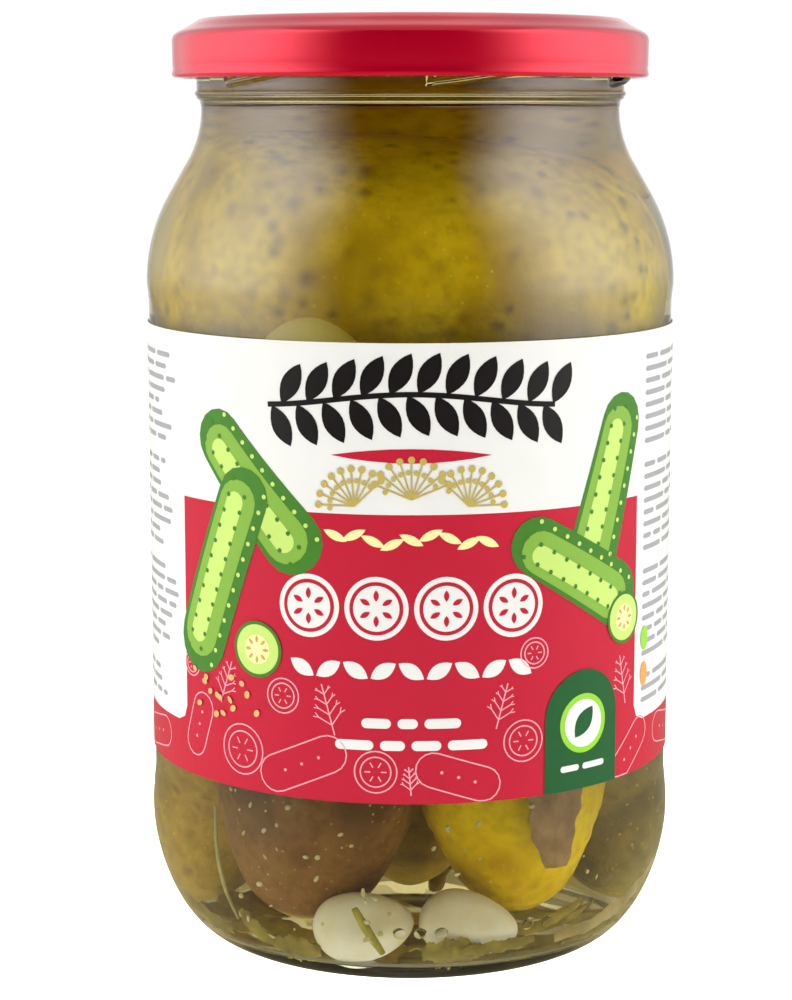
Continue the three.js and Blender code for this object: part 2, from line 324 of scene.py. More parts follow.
class Ink(Enum):
    """The printing inks of the label, each with its sRGB colour."""

    WHITE = "#DFDEDA"
    CRIMSON = "#BA0C2D"
    BLACK = "#1B1716"
    PALE_PINK = "#F29AA6"
    RIND_GREEN = "#3F7A22"
    LEAF_GREEN = "#7DAA3C"
    PALE_GREEN = "#BCD86E"
    DEEP_GREEN = "#1C5A2C"
    BRIGHT_GREEN = "#8CCB2E"
    GOLD = "#B9A552"
    CREAM = "#F1E3A0"
    TAN = "#D9A66A"
    GREY = "#9A9C9E"
    ORANGE = "#E09A4A"


@dataclass(frozen=True)
class CucumberSkin:
    """Fermented cucumber skin: waxy and wet, dull olive to golden yellow, with darker warts and pale specks."""

    name: str
    deep: str
    middle: str
    bright: str
    wart: str
    end: str = "#B8A030"
    speck: str = "#D6BE50"

    def make(self) -> bpy.types.Material:
        """Return the skin, whose warts and ends follow the mesh's own attributes."""
        material, tree = new_material(f"cucumber_skin_{self.name}")
        patches = add_ramp(tree, noise(tree, 15.0, 2.0), [
            (0.34, self.deep), (0.48, self.middle), (0.66, self.bright)])
        mottled = mixed(tree, scaled_value(tree, noise(tree, 2.0, 3.0), 0.0, 0.5, 0.44, 0.70),
                        patches, linear(self.deep))
        speck_field = add_node(tree, "ShaderNodeTexVoronoi", {"feature": "F1"}, {
            "Vector": place_of(tree), "Scale": 1 / (1.7 * MM)}).outputs["Distance"]
        specks = scaled_value(tree, speck_field, 1.0, 0.0, 0.06, 0.17)
        crowded = scaled_value(tree, noise(tree, 9.0, 1.0), 0.2, 0.85, 0.42, 0.58)
        share = add_node(tree, "ShaderNodeMath", {"operation": "MULTIPLY"}, {0: specks, 1: crowded})
        specked = mixed(tree, share.outputs["Value"], mottled, linear(self.speck))
        wart = add_node(tree, "ShaderNodeAttribute", {"attribute_name": "wart"}).outputs["Fac"]
        scar = add_node(tree, "ShaderNodeAttribute", {"attribute_name": "scar"}).outputs["Fac"]
        tip = add_node(tree, "ShaderNodeAttribute", {"attribute_name": "tip"}).outputs["Fac"]
        warted = mixed(tree, scaled_value(tree, wart, 0.0, 0.58, 0.05, 0.8), specked, linear(self.wart))
        scarred = mixed(tree, scaled_value(tree, scar, 0.0, 0.6), warted, linear("#5A4A14"))
        ended = mixed(tree, scaled_value(tree, tip, 0.0, 0.8), scarred, linear(self.end))
        grain = add_node(tree, "ShaderNodeBump", inputs={
            "Height": noise(tree, 1.3, 3.0), "Distance": 0.35 * MM, "Strength": 0.8})
        skin = add_node(tree, "ShaderNodeBsdfPrincipled", inputs={
            "Base Color": ended, "Roughness": 0.45, "Specular IOR Level": 0.1,
            "Normal": grain.outputs["Normal"]})
        add_node(tree, "ShaderNodeOutputMaterial", inputs={"Surface": skin.outputs["BSDF"]})
        return material


class Skin(Enum):
    """The colourings of the cucumbers that show in the jar."""

    GOLDEN = CucumberSkin("golden", "#B89404", "#DCB60A", "#EECC1A", "#7E600E", speck="#EAD440")
    YELLOW = CucumberSkin("yellow", "#C89E00", "#E8C200", "#F2D008", "#987410")
    OLIVE = CucumberSkin("olive", "#8E701C", "#B89632", "#CCAC48", "#6E5A22")
    BROWN = CucumberSkin("brown", "#6E4A28", "#8C6236", "#9C7242", "#583E1E", "#FAE870", "#D8BC80")
    DULL = CucumberSkin("dull", "#6A5A22", "#8A7834", "#9E8C48", "#564A1E")
    # Painted light: the neck cucumber's skin is painted far brighter than its real colour, to make up for the
    # shade that the lid casts on it.
    SHADED = CucumberSkin("shaded", "#C4A40A", "#DEBC12", "#EACC24", "#94720E")


@dataclass(frozen=True)
class PlainFood:
    """A small wet piece of food: two tones in soft patches, fine fibres and a damp gloss."""

    name: str
    light: str
    dark: str
    patch_mm: float
    stretch: Point3 = (1, 1, 1)
    roughness: float = 0.35
    subsurface: float = 0.2

    def make(self) -> bpy.types.Material:
        """Return the food's finish."""
        material, tree = new_material(self.name)
        tone = mixed(tree, scaled_value(tree, noise(tree, self.patch_mm, 3.0, self.stretch), 0.0, 1.0, 0.35, 0.7),
                     linear(self.light), linear(self.dark))
        grain = add_node(tree, "ShaderNodeBump", inputs={
            "Height": noise(tree, self.patch_mm * 0.35, 2.0, self.stretch), "Distance": 0.12 * MM,
            "Strength": 0.5})
        body = add_node(tree, "ShaderNodeBsdfPrincipled", inputs={
            "Base Color": tone, "Roughness": self.roughness, "Specular IOR Level": 0.15,
            "Subsurface Weight": self.subsurface,
            "Subsurface Radius": (1.0, 0.8, 0.5), "Subsurface Scale": 2.5 * MM,
            "Normal": grain.outputs["Normal"]})
        add_node(tree, "ShaderNodeOutputMaterial", inputs={"Surface": body.outputs["BSDF"]})
        return material


GARLIC = PlainFood("peeled_garlic", "#FAF2DC", "#EEE2BC", 5.0, subsurface=0.5)
DILL = PlainFood("dill_stalk_fibre", "#B8AC44", "#8E8434", 3.0, (1, 1, 0.2))
STEM = PlainFood("pale_dill_stalk_fibre", "#C0B478", "#9A8E50", 3.0, (1, 1, 0.2))
LEAF = PlainFood("soaked_bay_leaf", "#B48E5E", "#8E6A42", 4.0, subsurface=0.1)
SEED = PlainFood("mustard_seed_coat", "#E4D49A", "#C4AE6A", 1.0)
FROND = PlainFood("soaked_dill_frond", "#B09A44", "#7A6A2C", 3.0, subsurface=0.1)
PALE_STRIP = PlainFood("horseradish_strip", "#CCB478", "#A48E54", 4.0, (1, 1, 0.3))


# Mesh helpers in the manner of hand modelling


def deselect_all() -> None:
    """Leave edit mode if it is on and deselect every object."""
    if bpy.context.object and bpy.context.object.mode != "OBJECT":
        bpy.ops.object.mode_set(mode="OBJECT")
    bpy.ops.object.select_all(action="DESELECT")


def make_active(piece: bpy.types.Object) -> None:
    """Select one object alone and make it the active one."""
    deselect_all()
    piece.select_set(True)
    bpy.context.view_layer.objects.active = piece


def edit(piece: bpy.types.Object) -> None:
    """Open one object in edit mode."""
    make_active(piece)
    bpy.ops.object.mode_set(mode="EDIT")


def settle(piece: bpy.types.Object) -> None:
    """Put the object's place, turn and scale into its mesh."""
    deselect_all()
    piece.data.transform(piece.matrix_world)
    piece.matrix_world = Matrix.Identity(4)


def join_all(pieces: list[bpy.types.Object], name: str) -> bpy.types.Object:
    """Join several meshes into one object.

    Args:
        pieces: the objects to join.
        name: the joined object's name.

    Returns:
        The joined object.
    """
    for piece in pieces:
        settle(piece)
    make_active(pieces[0])
    for piece in pieces:
        piece.select_set(True)
    bpy.ops.object.join()
    pieces[0].name = name
    pieces[0].data.name = name
    return pieces[0]


def dress(piece: bpy.types.Object, material: bpy.types.Material, smooth: float = 35.0) -> None:
    """Give a piece its only material, smooth its shading and fasten it to the body.

    Args:
        piece: the finished mesh.
        material: its finish.
        smooth: the angle in degrees up to which edges are shaded smooth.
    """
    piece.data.materials.clear()
    piece.data.materials.append(material)
    make_active(piece)
    bpy.ops.object.shade_smooth_by_angle(angle=math.radians(smooth))
    deselect_all()
    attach(piece, BODY)
    LOG.info("%s: %d faces, %s", piece.name, len(piece.data.polygons), material.name)


def coordinates(piece: bpy.types.Object) -> np.ndarray:
    """Return the mesh's points as an array with one row for each."""
    points = np.zeros(len(piece.data.vertices) * 3)
    piece.data.vertices.foreach_get("co", points)
    return points.reshape(-1, 3)


def move_points(piece: bpy.types.Object, points: np.ndarray) -> None:
    """Give the mesh's points new places."""
    piece.data.vertices.foreach_set("co", points.ravel())
    piece.data.update()


def turned(name: str, profile: Sequence[Point2], sides: int, closed: bool = False) -> bpy.types.Object:
    """Make a turned shape by extruding a ring along a profile and scaling it at each step.

    Args:
        name: the object's name.
        profile: radius and height of each ring, in millimetres; a radius of 0 closes an end.
        sides: how many sides the rings have.
        closed: whether the last ring joins the first, as on a sleeve.

    Returns:
        The turned object, in metres.
    """
    rings = [point for point in profile if point[0] > 0]
    deselect_all()
    first_radius, first_height = rings[0]
    bpy.ops.mesh.primitive_circle_add(
        vertices=sides, radius=first_radius * MM, location=(0, 0, 0), fill_type="NOTHING")
    piece = bpy.context.object
    piece.name = name
    edit(piece)
    bpy.ops.mesh.select_all(action="SELECT")
    bpy.ops.transform.translate(value=(0, 0, first_height * MM))
    for (radius, height), (next_radius, next_height) in zip(rings, rings[1:]):
        bpy.ops.mesh.extrude_region_move(
            TRANSFORM_OT_translate={"value": (0, 0, (next_height - height) * MM)})
        ratio = next_radius / radius
        bpy.ops.transform.resize(value=(ratio, ratio, 1), center_override=(0, 0, 0))
    if profile[-1][0] == 0:
        close_end(profile[-1][1] - rings[-1][1])
    if profile[0][0] == 0:
        bpy.ops.mesh.select_all(action="DESELECT")
        bpy.ops.object.mode_set(mode="OBJECT")
        for vertex in piece.data.vertices[:sides]:
            vertex.select = True
        for edge in piece.data.edges:
            edge.select = all(index < sides for index in edge.vertices)
        bpy.ops.object.mode_set(mode="EDIT")
        close_end(profile[0][1] - rings[0][1])
    bpy.ops.mesh.select_all(action="SELECT")
    if closed:
        bpy.ops.mesh.remove_doubles(threshold=1e-6)
    bpy.ops.mesh.normals_make_consistent(inside=False)
    bpy.ops.object.mode_set(mode="OBJECT")
    settle(piece)
    return piece


def close_end(step: float) -> None:
    """Close the selected ring with a point.

    Args:
        step: how far above the ring the point lies, in millimetres.
    """
    bpy.ops.mesh.extrude_region_move(TRANSFORM_OT_translate={"value": (0, 0, step * MM)})
    bpy.ops.mesh.merge(type="CENTER")


def fuse(piece: bpy.types.Object, others: list[bpy.types.Object]) -> None:
    """Join other closed meshes onto a piece with Boolean modifiers that are applied.

    Args:
        piece: the mesh that stays.
        others: the meshes that are joined on and removed.
    """
    tool = join_all(others, "tool") if len(others) > 1 else others[0]
    make_active(piece)
    modifier = piece.modifiers.new("fuse", "BOOLEAN")
    modifier.operation = "UNION"
    modifier.solver = "EXACT"
    modifier.use_self = len(others) > 1
    modifier.object = tool
    bpy.ops.object.modifier_apply(modifier=modifier.name)
    bpy.data.objects.remove(tool)


def arc(centre: Point2, radius: float, start: float, end: float, steps: int) -> list[Point2]:
    """Return the points of an arc in the plane of radius and height.

    Args:
        centre: radius and height of the arc's centre.
        radius: the arc's own radius.
        start: the first angle in degrees, from the outward direction.
        end: the last angle in degrees.
        steps: how many steps the arc has.

    Returns:
        The points in order.
    """
    angles = [math.radians(start + (end - start) * i / steps) for i in range(steps + 1)]
    return [(centre[0] + radius * math.cos(a), centre[1] + radius * math.sin(a)) for a in angles]


def sweep(name: str, path: Sequence[Vector], radii: Sequence[float]) -> bpy.types.Object:
    """Make a closed tube along a path, as a bevelled curve that is then made a mesh.

    Args:
        name: the object's name.
        path: the points of its middle line, in millimetres.
        radii: the tube's radius at each point.

    Returns:
        The tube as a mesh, in metres.
    """
    deselect_all()
    curve = bpy.data.curves.new(name, "CURVE")
    curve.dimensions = "3D"
    curve.bevel_depth = 1.0
    curve.bevel_resolution = 3
    curve.use_fill_caps = True
    spline = curve.splines.new("POLY")
    spline.points.add(len(path) - 1)
    for point, place, radius in zip(spline.points, path, radii):
        point.co = (*(place * MM), 1)
        point.radius = radius * MM
    holder = bpy.data.objects.new(name, curve)
    bpy.context.scene.collection.objects.link(holder)
    make_active(holder)
    bpy.ops.object.convert(target="MESH")
    piece = bpy.context.object
    settle(piece)
    return piece


def on_wall(radius: float, degrees: float, height: float) -> Vector:
    """Return the point at a radius, an angle from the front and a height, in millimetres."""
    angle = math.radians(degrees)
    return Vector((radius * math.sin(angle), -radius * math.cos(angle), height))


def smooth_path(points: Sequence[Vector], steps: int) -> list[Vector]:
    """Return a smooth line through a few points.

    Args:
        points: the points that the line passes.
        steps: how many steps each stretch gets.

    Returns:
        The points of the line.
    """
    padded = [points[0] * 2 - points[1], *points, points[-1] * 2 - points[-2]]
    line = []
    for i in range(1, len(padded) - 2):
        a, b, c, d = padded[i - 1 : i + 3]
        for j in range(steps):
            t = j / steps
            line.append(0.5 * ((2 * b) + (c - a) * t + (2 * a - 5 * b + 4 * c - d) * t * t
                               + (3 * b - 3 * c + d - a) * t * t * t))
    return [*line, points[-1].copy()]


# The glass


@dataclass(frozen=True)
class JarProfile:
    """The jar's section: push-up base, heel, label panel, shoulder, neck, bead and finish."""

    rest_ring_inner: float = 33.5
    rest_ring_outer: float = 36.8
    push_up: float = 2.2
    heel_radius: float = 47.9
    heel_height: float = 22.0
    heel_roundness: float = 1.7
    panel_radius: float = 47.35
    panel_bottom: float = 30.5
    panel_top: float = 116.0
    shoulder_radius: float = 47.65
    shoulder_start: float = 119.0
    shoulder_slope: float = 30.0
    shoulder_arc: float = 32.0
    neck_arc: float = 18.4
    neck_radius: float = 37.5
    bead_radius: float = 38.65
    bead_low: float = 151.2
    bead_high: float = 153.6
    finish_radius: float = 38.3
    brim_height: float = 164.0
    brim_round: float = 1.6
    wall: float = 2.3
    mouth_radius: float = 35.0
    floor_height: float = 4.2
    floor_radius: float = 35.5
    floor_rise: float = 1.2

    def heel(self, floor: Point2, wall: Point2, roundness: float, steps: int) -> list[Point2]:
        """Return the rounded corner between a floor and a wall.

        Args:
            floor: radius and height where the floor ends.
            wall: radius and height where the wall begins.
            roundness: the power of the superellipse.
            steps: how many steps the corner has.

        Returns:
            The corner's points.
        """
        points = []
        for i in range(steps + 1):
            t = (i / steps) ** 1.6
            reach = (1 - (1 - t) ** roundness) ** (1 / roundness)
            points.append((floor[0] + (wall[0] - floor[0]) * reach, floor[1] + (wall[1] - floor[1]) * t))
        return points

    def shoulder(self, inset: float, steps: int) -> list[Point2]:
        """Return the bulge and hollow of the shoulder, moved in by an inset.

        Args:
            inset: how far inside the outer surface the curve lies.
            steps: how many steps each arc has.

        Returns:
            The shoulder's points from the panel to the neck.
        """
        slope = math.radians(self.shoulder_slope)
        both = self.shoulder_arc + self.neck_arc
        drop = self.shoulder_radius - self.neck_radius
        straight = (drop - both * (1 - math.cos(slope))) / math.sin(slope)
        neck_height = self.shoulder_start + both * math.sin(slope) + straight * math.cos(slope)
        bulge = arc((self.shoulder_radius - self.shoulder_arc, self.shoulder_start),
                    self.shoulder_arc - inset, 0, self.shoulder_slope, steps)
        hollow = arc((self.neck_radius + self.neck_arc, neck_height),
                     self.neck_arc + inset, 180 + self.shoulder_slope, 180, steps)
        return [*bulge, *hollow]

    def outside(self) -> list[Point2]:
        """Return the outer surface from the middle of the base to the top of the brim."""
        return [
            (0, self.push_up),
            (self.rest_ring_inner * 0.3, self.push_up),
            (self.rest_ring_inner * 0.6, self.push_up * 0.85),
            (self.rest_ring_inner * 0.8, self.push_up * 0.62),
            (self.rest_ring_inner * 0.92, self.push_up * 0.35),
            (self.rest_ring_inner, 0),
            *self.heel((self.rest_ring_outer, 0), (self.heel_radius, self.heel_height),
                       self.heel_roundness, 26),
            (self.heel_radius, self.heel_height + 2.0),
            ((self.panel_radius + self.heel_radius) / 2, self.panel_bottom - 3.0),
            (self.panel_radius + 0.05, self.panel_bottom - 1.0),
            (self.panel_radius, self.panel_bottom),
            (self.panel_radius, self.panel_top),
            (self.panel_radius + 0.12, self.panel_top + 1.2),
            *self.shoulder(0, 14),
            (self.neck_radius + 0.25, self.bead_low),
            (self.bead_radius - 0.35, self.bead_low + 0.45),
            *arc((self.bead_radius - 0.6, self.bead_low + 1.3), 0.6, -60, 60, 5),
            (self.finish_radius, self.bead_high),
            (self.finish_radius, self.brim_height - self.brim_round - 1),
            *arc((self.finish_radius - self.brim_round, self.brim_height - self.brim_round),
                 self.brim_round, 0, 90, 6),
        ]

    def inside(self, gap: float, steps: int = 12) -> list[Point2]:
        """Return the inner surface from the middle of the floor to the neck.

        Args:
            gap: how far inside the glass the surface lies; below 0 it lies in the wall.
            steps: how many steps the shoulder's arcs have.

        Returns:
            The surface's points.
        """
        wall_radius = self.panel_radius - self.wall + 0.05
        corner = self.heel((self.floor_radius - gap, self.floor_height + gap),
                           (wall_radius - gap, self.heel_height + 2), self.heel_roundness + 0.1, 22)
        floor = [(0, self.floor_height + self.floor_rise + gap),
                 (self.floor_radius * 0.5, self.floor_height + self.floor_rise * 0.75 + gap)]
        return [*floor, *corner, *self.shoulder(self.wall + gap, steps)]

    def glass(self) -> list[Point2]:
        """Return the closed section of the glass, from the base round the brim to the floor."""
        mouth = [(self.mouth_radius + self.brim_round / 2, self.brim_height),
                 (self.mouth_radius + 0.2, self.brim_height - self.brim_round / 2),
                 (self.mouth_radius, self.brim_height - self.brim_round)]
        return [*self.outside(), *mouth, *reversed(self.inside(0))]

    def room(self, gap: float) -> Callable[[np.ndarray], np.ndarray]:
        """Return a function that gives the free radius at each height.

        Args:
            gap: the clearance to the glass.

        Returns:
            A function from heights to radii, in millimetres.
        """
        points = [*self.inside(gap)[2:], (self.mouth_radius - gap, self.brim_height)]
        radii = [point[0] for point in points]
        heights = [point[1] for point in points]
        return lambda height: np.interp(height, heights, radii)


@dataclass
class GlassJar:
    """The pressed glass jar with its screw thread and the plain dots that the mould leaves."""

    profile: JarProfile = field(default_factory=JarProfile)
    sides: int = 128
    starts: int = 6
    thread_radius: float = 39.8
    thread_bar: float = 0.95
    thread_low: float = 154.1
    thread_rise: float = 4.6
    thread_sweep: float = 50.0
    thread_first: float = -56.0
    dot_radius: float = 1.15
    dot_rise: float = 0.42

    def thread_bars(self) -> list[bpy.types.Object]:
        """Return the bars of the screw thread, whose ends sink into the glass."""
        finish = self.profile.finish_radius
        bars = []
        for start in range(self.starts):
            line = []
            for i in range(25):
                t = i / 24
                proud = min(1.0, math.sin(math.pi * t) * 3)
                radius = finish - self.thread_bar + (self.thread_radius - finish) * proud
                angle = self.thread_first + start * 360 / self.starts + self.thread_sweep * t
                line.append(on_wall(radius, angle, self.thread_low + self.thread_rise * t))
            bars.append(sweep(f"thread_bar_{start + 1}", line, [self.thread_bar] * len(line)))
        return bars

    def mould_dots(self) -> list[bpy.types.Object]:
        """Return the flat domes low on the heel, in two groups in front and two behind."""
        wall = self.profile.outside()[5:34]
        heights, radii = [p[1] for p in wall], [p[0] for p in wall]
        dots = []
        for side in (0, 180):
            for angle, height in ((-2.5, 11.2), (2.0, 11.2), (6.5, 11.2), (26.0, 11.2), (31.0, 11.2)):
                radius = float(np.interp(height, heights, radii))
                slope = (float(np.interp(height + 0.5, heights, radii)) - radius) / 0.5
                deselect_all()
                bpy.ops.mesh.primitive_uv_sphere_add(
                    segments=32, ring_count=16, radius=self.dot_radius, location=(0, 0, 0))
                dot = bpy.context.object
                flat = Matrix.Diagonal((1, self.dot_rise / self.dot_radius, 1, 1))
                lean = Matrix.Rotation(math.atan(slope), 4, "X")
                face = Matrix.Rotation(math.radians(side + angle), 4, "Z")
                place = Matrix.Translation(on_wall(radius - 0.01, side + angle, height))
                dot.data.transform(Matrix.Scale(MM, 4) @ place @ face @ lean @ flat)
                dots.append(dot)
        return dots

    def build(self) -> bpy.types.Object:
        """Make the glass and put it in the CAD jar's place.

        Returns:
            The glass.
        """
        piece = turned("glass_shell", self.profile.glass(), self.sides)
        fuse(piece, self.thread_bars() + self.mould_dots())
        dress(piece, ClearGlass().make(), 40)
        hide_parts("glass_jar")
        return piece


@dataclass
class BrineFill:
    """The liquid round the food, from the floor up into the neck; it reaches just into the glass."""

    profile: JarProfile = field(default_factory=JarProfile)
    sides: int = 128
    sink: float = 0.25
    level: float = 159.0

    def build(self) -> bpy.types.Object:
        """Make the body of liquid.

        Returns:
            The liquid.
        """
        surface = self.profile.inside(-self.sink)
        top = [(self.profile.mouth_radius + self.sink, self.level), (0, self.level)]
        piece = turned("brine", [*surface, *top], self.sides)
        dress(piece, Brine().make(), 40)
        return piece


# The lid


@dataclass
class TwistLid:
    """The tinplate lid: curl, knurl-free skirt, stepped shoulder, crown ring, panel, button and lugs."""

    radius: float = 42.6
    bottom: float = 155.2
    top: float = 165.6
    sheet: float = 0.32
    curl: float = 1.5
    skirt_drop: float = 3.7
    crown_radius: float = 37.5
    crown_width: float = 2.6
    panel_drop: float = 1.1
    button_radius: float = 14.0
    button_rise: float = 0.6
    seal_depth: float = 0.8
    lugs: int = 6
    sides: int = 144

    def outside(self) -> list[Point2]:
        """Return the outer surface from the button to the bottom of the curl."""
        panel = self.top - self.panel_drop
        return [
            (0, panel + self.button_rise),
            (self.button_radius * 0.5, panel + self.button_rise * 0.92),
            (self.button_radius - 2.0, panel + self.button_rise * 0.7),
            (self.button_radius - 0.7, panel + self.button_rise * 0.25),
            (self.button_radius, panel),
            (self.button_radius + 1.2, panel - 0.12),
            (self.button_radius + 2.4, panel),
            (self.crown_radius - self.crown_width - 2.4, panel),
            (self.crown_radius - self.crown_width - 1.4, panel + 0.12),
            (self.crown_radius - self.crown_width - 0.7, self.top - 0.35),
            (self.crown_radius - self.crown_width, self.top - 0.06),
            (self.crown_radius - self.crown_width + 0.6, self.top),
            (self.crown_radius - 0.4, self.top),
            (self.crown_radius + 0.4, self.top - 0.2),
            (self.radius - 3.6, self.top - 0.95),
            (self.radius - 2.8, self.top - 1.4),
            (self.radius - 2.0, self.top - 1.85),
            (self.radius - 1.3, self.top - 2.15),
            (self.radius - 0.7, self.top - 2.55),
            (self.radius - 0.25, self.top - 3.05),
            (self.radius - 0.05, self.top - self.skirt_drop),
            (self.radius - 0.1, self.bottom + self.curl + 0.9),
            (self.radius - 0.2, self.bottom + self.curl + 0.2),
            *arc((self.radius - self.curl / 2, self.bottom + self.curl / 2), self.curl / 2, 30, -180, 14),
        ]

    def inside(self) -> list[Point2]:
        """Return the inner surface from the curl to the middle of the panel."""
        wall = self.radius - self.sheet
        panel = self.top - self.panel_drop - self.sheet
        return [
            (wall - 0.5, self.bottom + self.curl + 0.2),
            (wall - 0.1, self.bottom + self.curl + 0.9),
            (wall, self.top - self.skirt_drop),
            (wall - 1.2, self.top - 2.6 - self.sheet),
            (self.crown_radius + 1.6, self.top - 1.0 - self.sheet),
            (self.crown_radius, self.top - self.sheet),
            (self.crown_radius - self.crown_width, self.top - self.sheet),
            (self.crown_radius - self.crown_width - 1.4, panel),
            (0, panel),
        ]

    def lug(self) -> bpy.types.Object:
        """Return one lug: a small bevelled block at the curl."""
        deselect_all()
        bpy.ops.mesh.primitive_cube_add(size=1, location=(0, 0, 0))
        piece = bpy.context.object
        piece.scale = (7.6 * MM, 2.6 * MM, 1.3 * MM)
        piece.location = on_wall(self.radius - 2.0, 0, self.bottom + 0.8) * MM
        bpy.context.view_layer.update()
        settle(piece)
        edit(piece)
        bpy.ops.mesh.select_all(action="SELECT")
        bpy.ops.mesh.bevel(offset=0.4 * MM, segments=3, affect="EDGES")
        bpy.ops.object.mode_set(mode="OBJECT")
        return piece

    def build(self) -> list[bpy.types.Object]:
        """Make the lid and its sealing ring.

        Returns:
            The lid and the seal.
        """
        piece = turned("lid_shell", [*self.outside(), *self.inside()], self.sides)
        first = GlassJar().thread_first + 43.0
        lugs = []
        pattern = self.lug()
        for i in range(self.lugs):
            copy = pattern.copy()
            copy.data = pattern.data.copy()
            bpy.context.scene.collection.objects.link(copy)
            turn = math.radians(first + i * 360 / self.lugs)
            copy.data.transform(Matrix.Rotation(turn, 4, "Z"))
            lugs.append(copy)
        bpy.data.objects.remove(pattern)
        joined = join_all([piece, *lugs], "lid_shell")
        self.press_lug_marks(joined, first)
        dress(joined, LidEnamel().make(), 30)
        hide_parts("lid")
        return [joined, self.seal()]

    def press_lug_marks(self, piece: bpy.types.Object, first: float) -> None:
        """Press the faint round dents that the lugs leave in the skirt.

        Args:
            piece: the lid.
            first: the angle of the first lug, in degrees from the front.
        """
        points = coordinates(piece) / MM
        radius = np.hypot(points[:, 0], points[:, 1])
        angle = np.degrees(np.arctan2(points[:, 0], -points[:, 1]))
        middle = self.bottom + 3.4
        for i in range(self.lugs):
            away = (angle - first - i * 360 / self.lugs + 180) % 360 - 180
            arc_length = np.radians(away) * self.radius
            near = np.exp(-((arc_length / 2.6) ** 2 + ((points[:, 2] - middle) / 1.5) ** 2))
            dent = 0.16 * near * (radius > self.radius - 1.0)
            points[:, :2] *= (1 - dent / radius)[:, None]
        move_points(piece, points * MM)

    def seal(self) -> bpy.types.Object:
        """Return the sealing ring between the lid and the brim."""
        top = self.top - self.sheet - 0.02
        low = self.top - self.sheet - self.seal_depth
        inner = self.crown_radius - self.crown_width + 0.1
        outer = self.crown_radius + 0.2
        ring = [(inner, low + 0.15), (inner + 0.3, low), (outer - 0.3, low), (outer, low + 0.15),
                (outer, top - 0.1), (outer - 0.3, top), (inner + 0.3, top), (inner, top - 0.1),
                (inner, low + 0.15)]
        piece = turned("lid_seal", ring, 96, closed=True)
        dress(piece, LinerPlastisol().make())
        return piece


# The food


@dataclass
class Cucumber:
    """One pickled cucumber: a bowed body with rounded ends, three faint lobes and warts."""

    name: str
    low: Point3
    high: Point3
    radius: float
    bow: float
    skin: Skin
    seed: int
    around: int = 220
    along: int = 200
    warts_per_cm2: float = 3.0
    pale_from: float = 0.955
    blunt: float = 3.6

    def build(self, room: Callable[[np.ndarray], np.ndarray]) -> bpy.types.Object:
        """Make the cucumber, pressed flat where it meets the glass.

        Args:
            room: the free radius inside the glass at each height.

        Returns:
            The cucumber.
        """
        deselect_all()
        bpy.ops.mesh.primitive_uv_sphere_add(
            segments=self.around, ring_count=self.along, radius=1.0, location=(0, 0, 0))
        piece = bpy.context.object
        piece.name = self.name
        unit = coordinates(piece)
        body, wart, scar = self.shaped(unit)
        placed = self.placed(body)
        flat = np.hypot(placed[:, 0], placed[:, 1])
        limit = room(placed[:, 2])
        over = flat > limit
        placed[over, :2] *= (limit[over] / flat[over])[:, None]
        move_points(piece, placed * MM)
        tip = np.clip((-unit[:, 2] - 0.955) / 0.04, 0, 1)
        tip = np.maximum(tip, np.clip((unit[:, 2] - self.pale_from) / 0.04, 0, 1))
        for name, values in (("wart", wart), ("scar", scar), ("tip", tip)):
            attribute = piece.data.attributes.new(name, "FLOAT", "POINT")
            attribute.data.foreach_set("value", values.astype(np.float32))
        return piece

    def shaped(self, unit: np.ndarray) -> tuple[np.ndarray, np.ndarray, np.ndarray]:
        """Shape a unit sphere's points into the cucumber along Z.

        Args:
            unit: the sphere's points.

        Returns:
            The body's points in millimetres, and how much wart and scar there is at each.
        """
        rng = np.random.default_rng(self.seed)
        length = (Vector(self.high) - Vector(self.low)).length
        along = np.clip(unit[:, 2], -1, 1)
        turn = np.arctan2(unit[:, 1], unit[:, 0])
        power = np.where(along < 0, self.blunt, 3.0)
        fullness = (1 - np.abs(along) ** power) ** 0.52
        phases = rng.uniform(0, 2 * math.pi, 8)
        swell = 0.018 * np.cos(3 * turn + phases[0]) + 0.02 * np.sin(2.3 * along * math.pi + phases[1])
        swell += 0.012 * np.cos(2 * turn + 4 * along + phases[2])
        swell += 0.008 * np.cos(5 * turn - 7 * along + phases[3])
        radius = self.radius * fullness * (1 + swell)
        body = np.stack([radius * np.cos(turn), radius * np.sin(turn), along * length / 2], 1)
        area = 2 * math.pi * self.radius * length * 0.85 / 100
        count = int(area * self.warts_per_cm2)
        wart = np.zeros(len(body))
        scar = np.zeros(len(body))
        for _ in range(count):
            t, a = rng.uniform(-0.93, 0.93), rng.uniform(-math.pi, math.pi)
            reach = self.radius * (1 - abs(t) ** 3) ** 0.52
            spot = np.array([reach * math.cos(a), reach * math.sin(a), t * length / 2])
            size = rng.uniform(0.8, 1.6)
            distance = np.linalg.norm(body - spot, axis=1)
            wart = np.maximum(wart, np.exp(-((distance / size) ** 2)) * rng.uniform(0.5, 1.0))
            scar = np.maximum(scar, np.exp(-((distance / 0.4) ** 2)) * rng.uniform(0.0, 1.0) ** 2)
        outward = np.stack([np.cos(turn), np.sin(turn), 0.5 * along**5], 1)
        body += outward * (0.42 * wart - 0.12 * scar)[:, None]
        body[:, 0] += self.bow * (1 - along**2)
        return body, wart, scar

    def placed(self, body: np.ndarray) -> np.ndarray:
        """Turn and move the body from the Z axis to between its two ends.

        Args:
            body: points along Z, in millimetres.

        Returns:
            The points in the jar's frame, in millimetres.
        """
        low, high = Vector(self.low), Vector(self.high)
        turn = Vector((0, 0, 1)).rotation_difference((high - low).normalized()).to_matrix()
        return body @ np.array(turn).T + np.array((low + high) / 2)


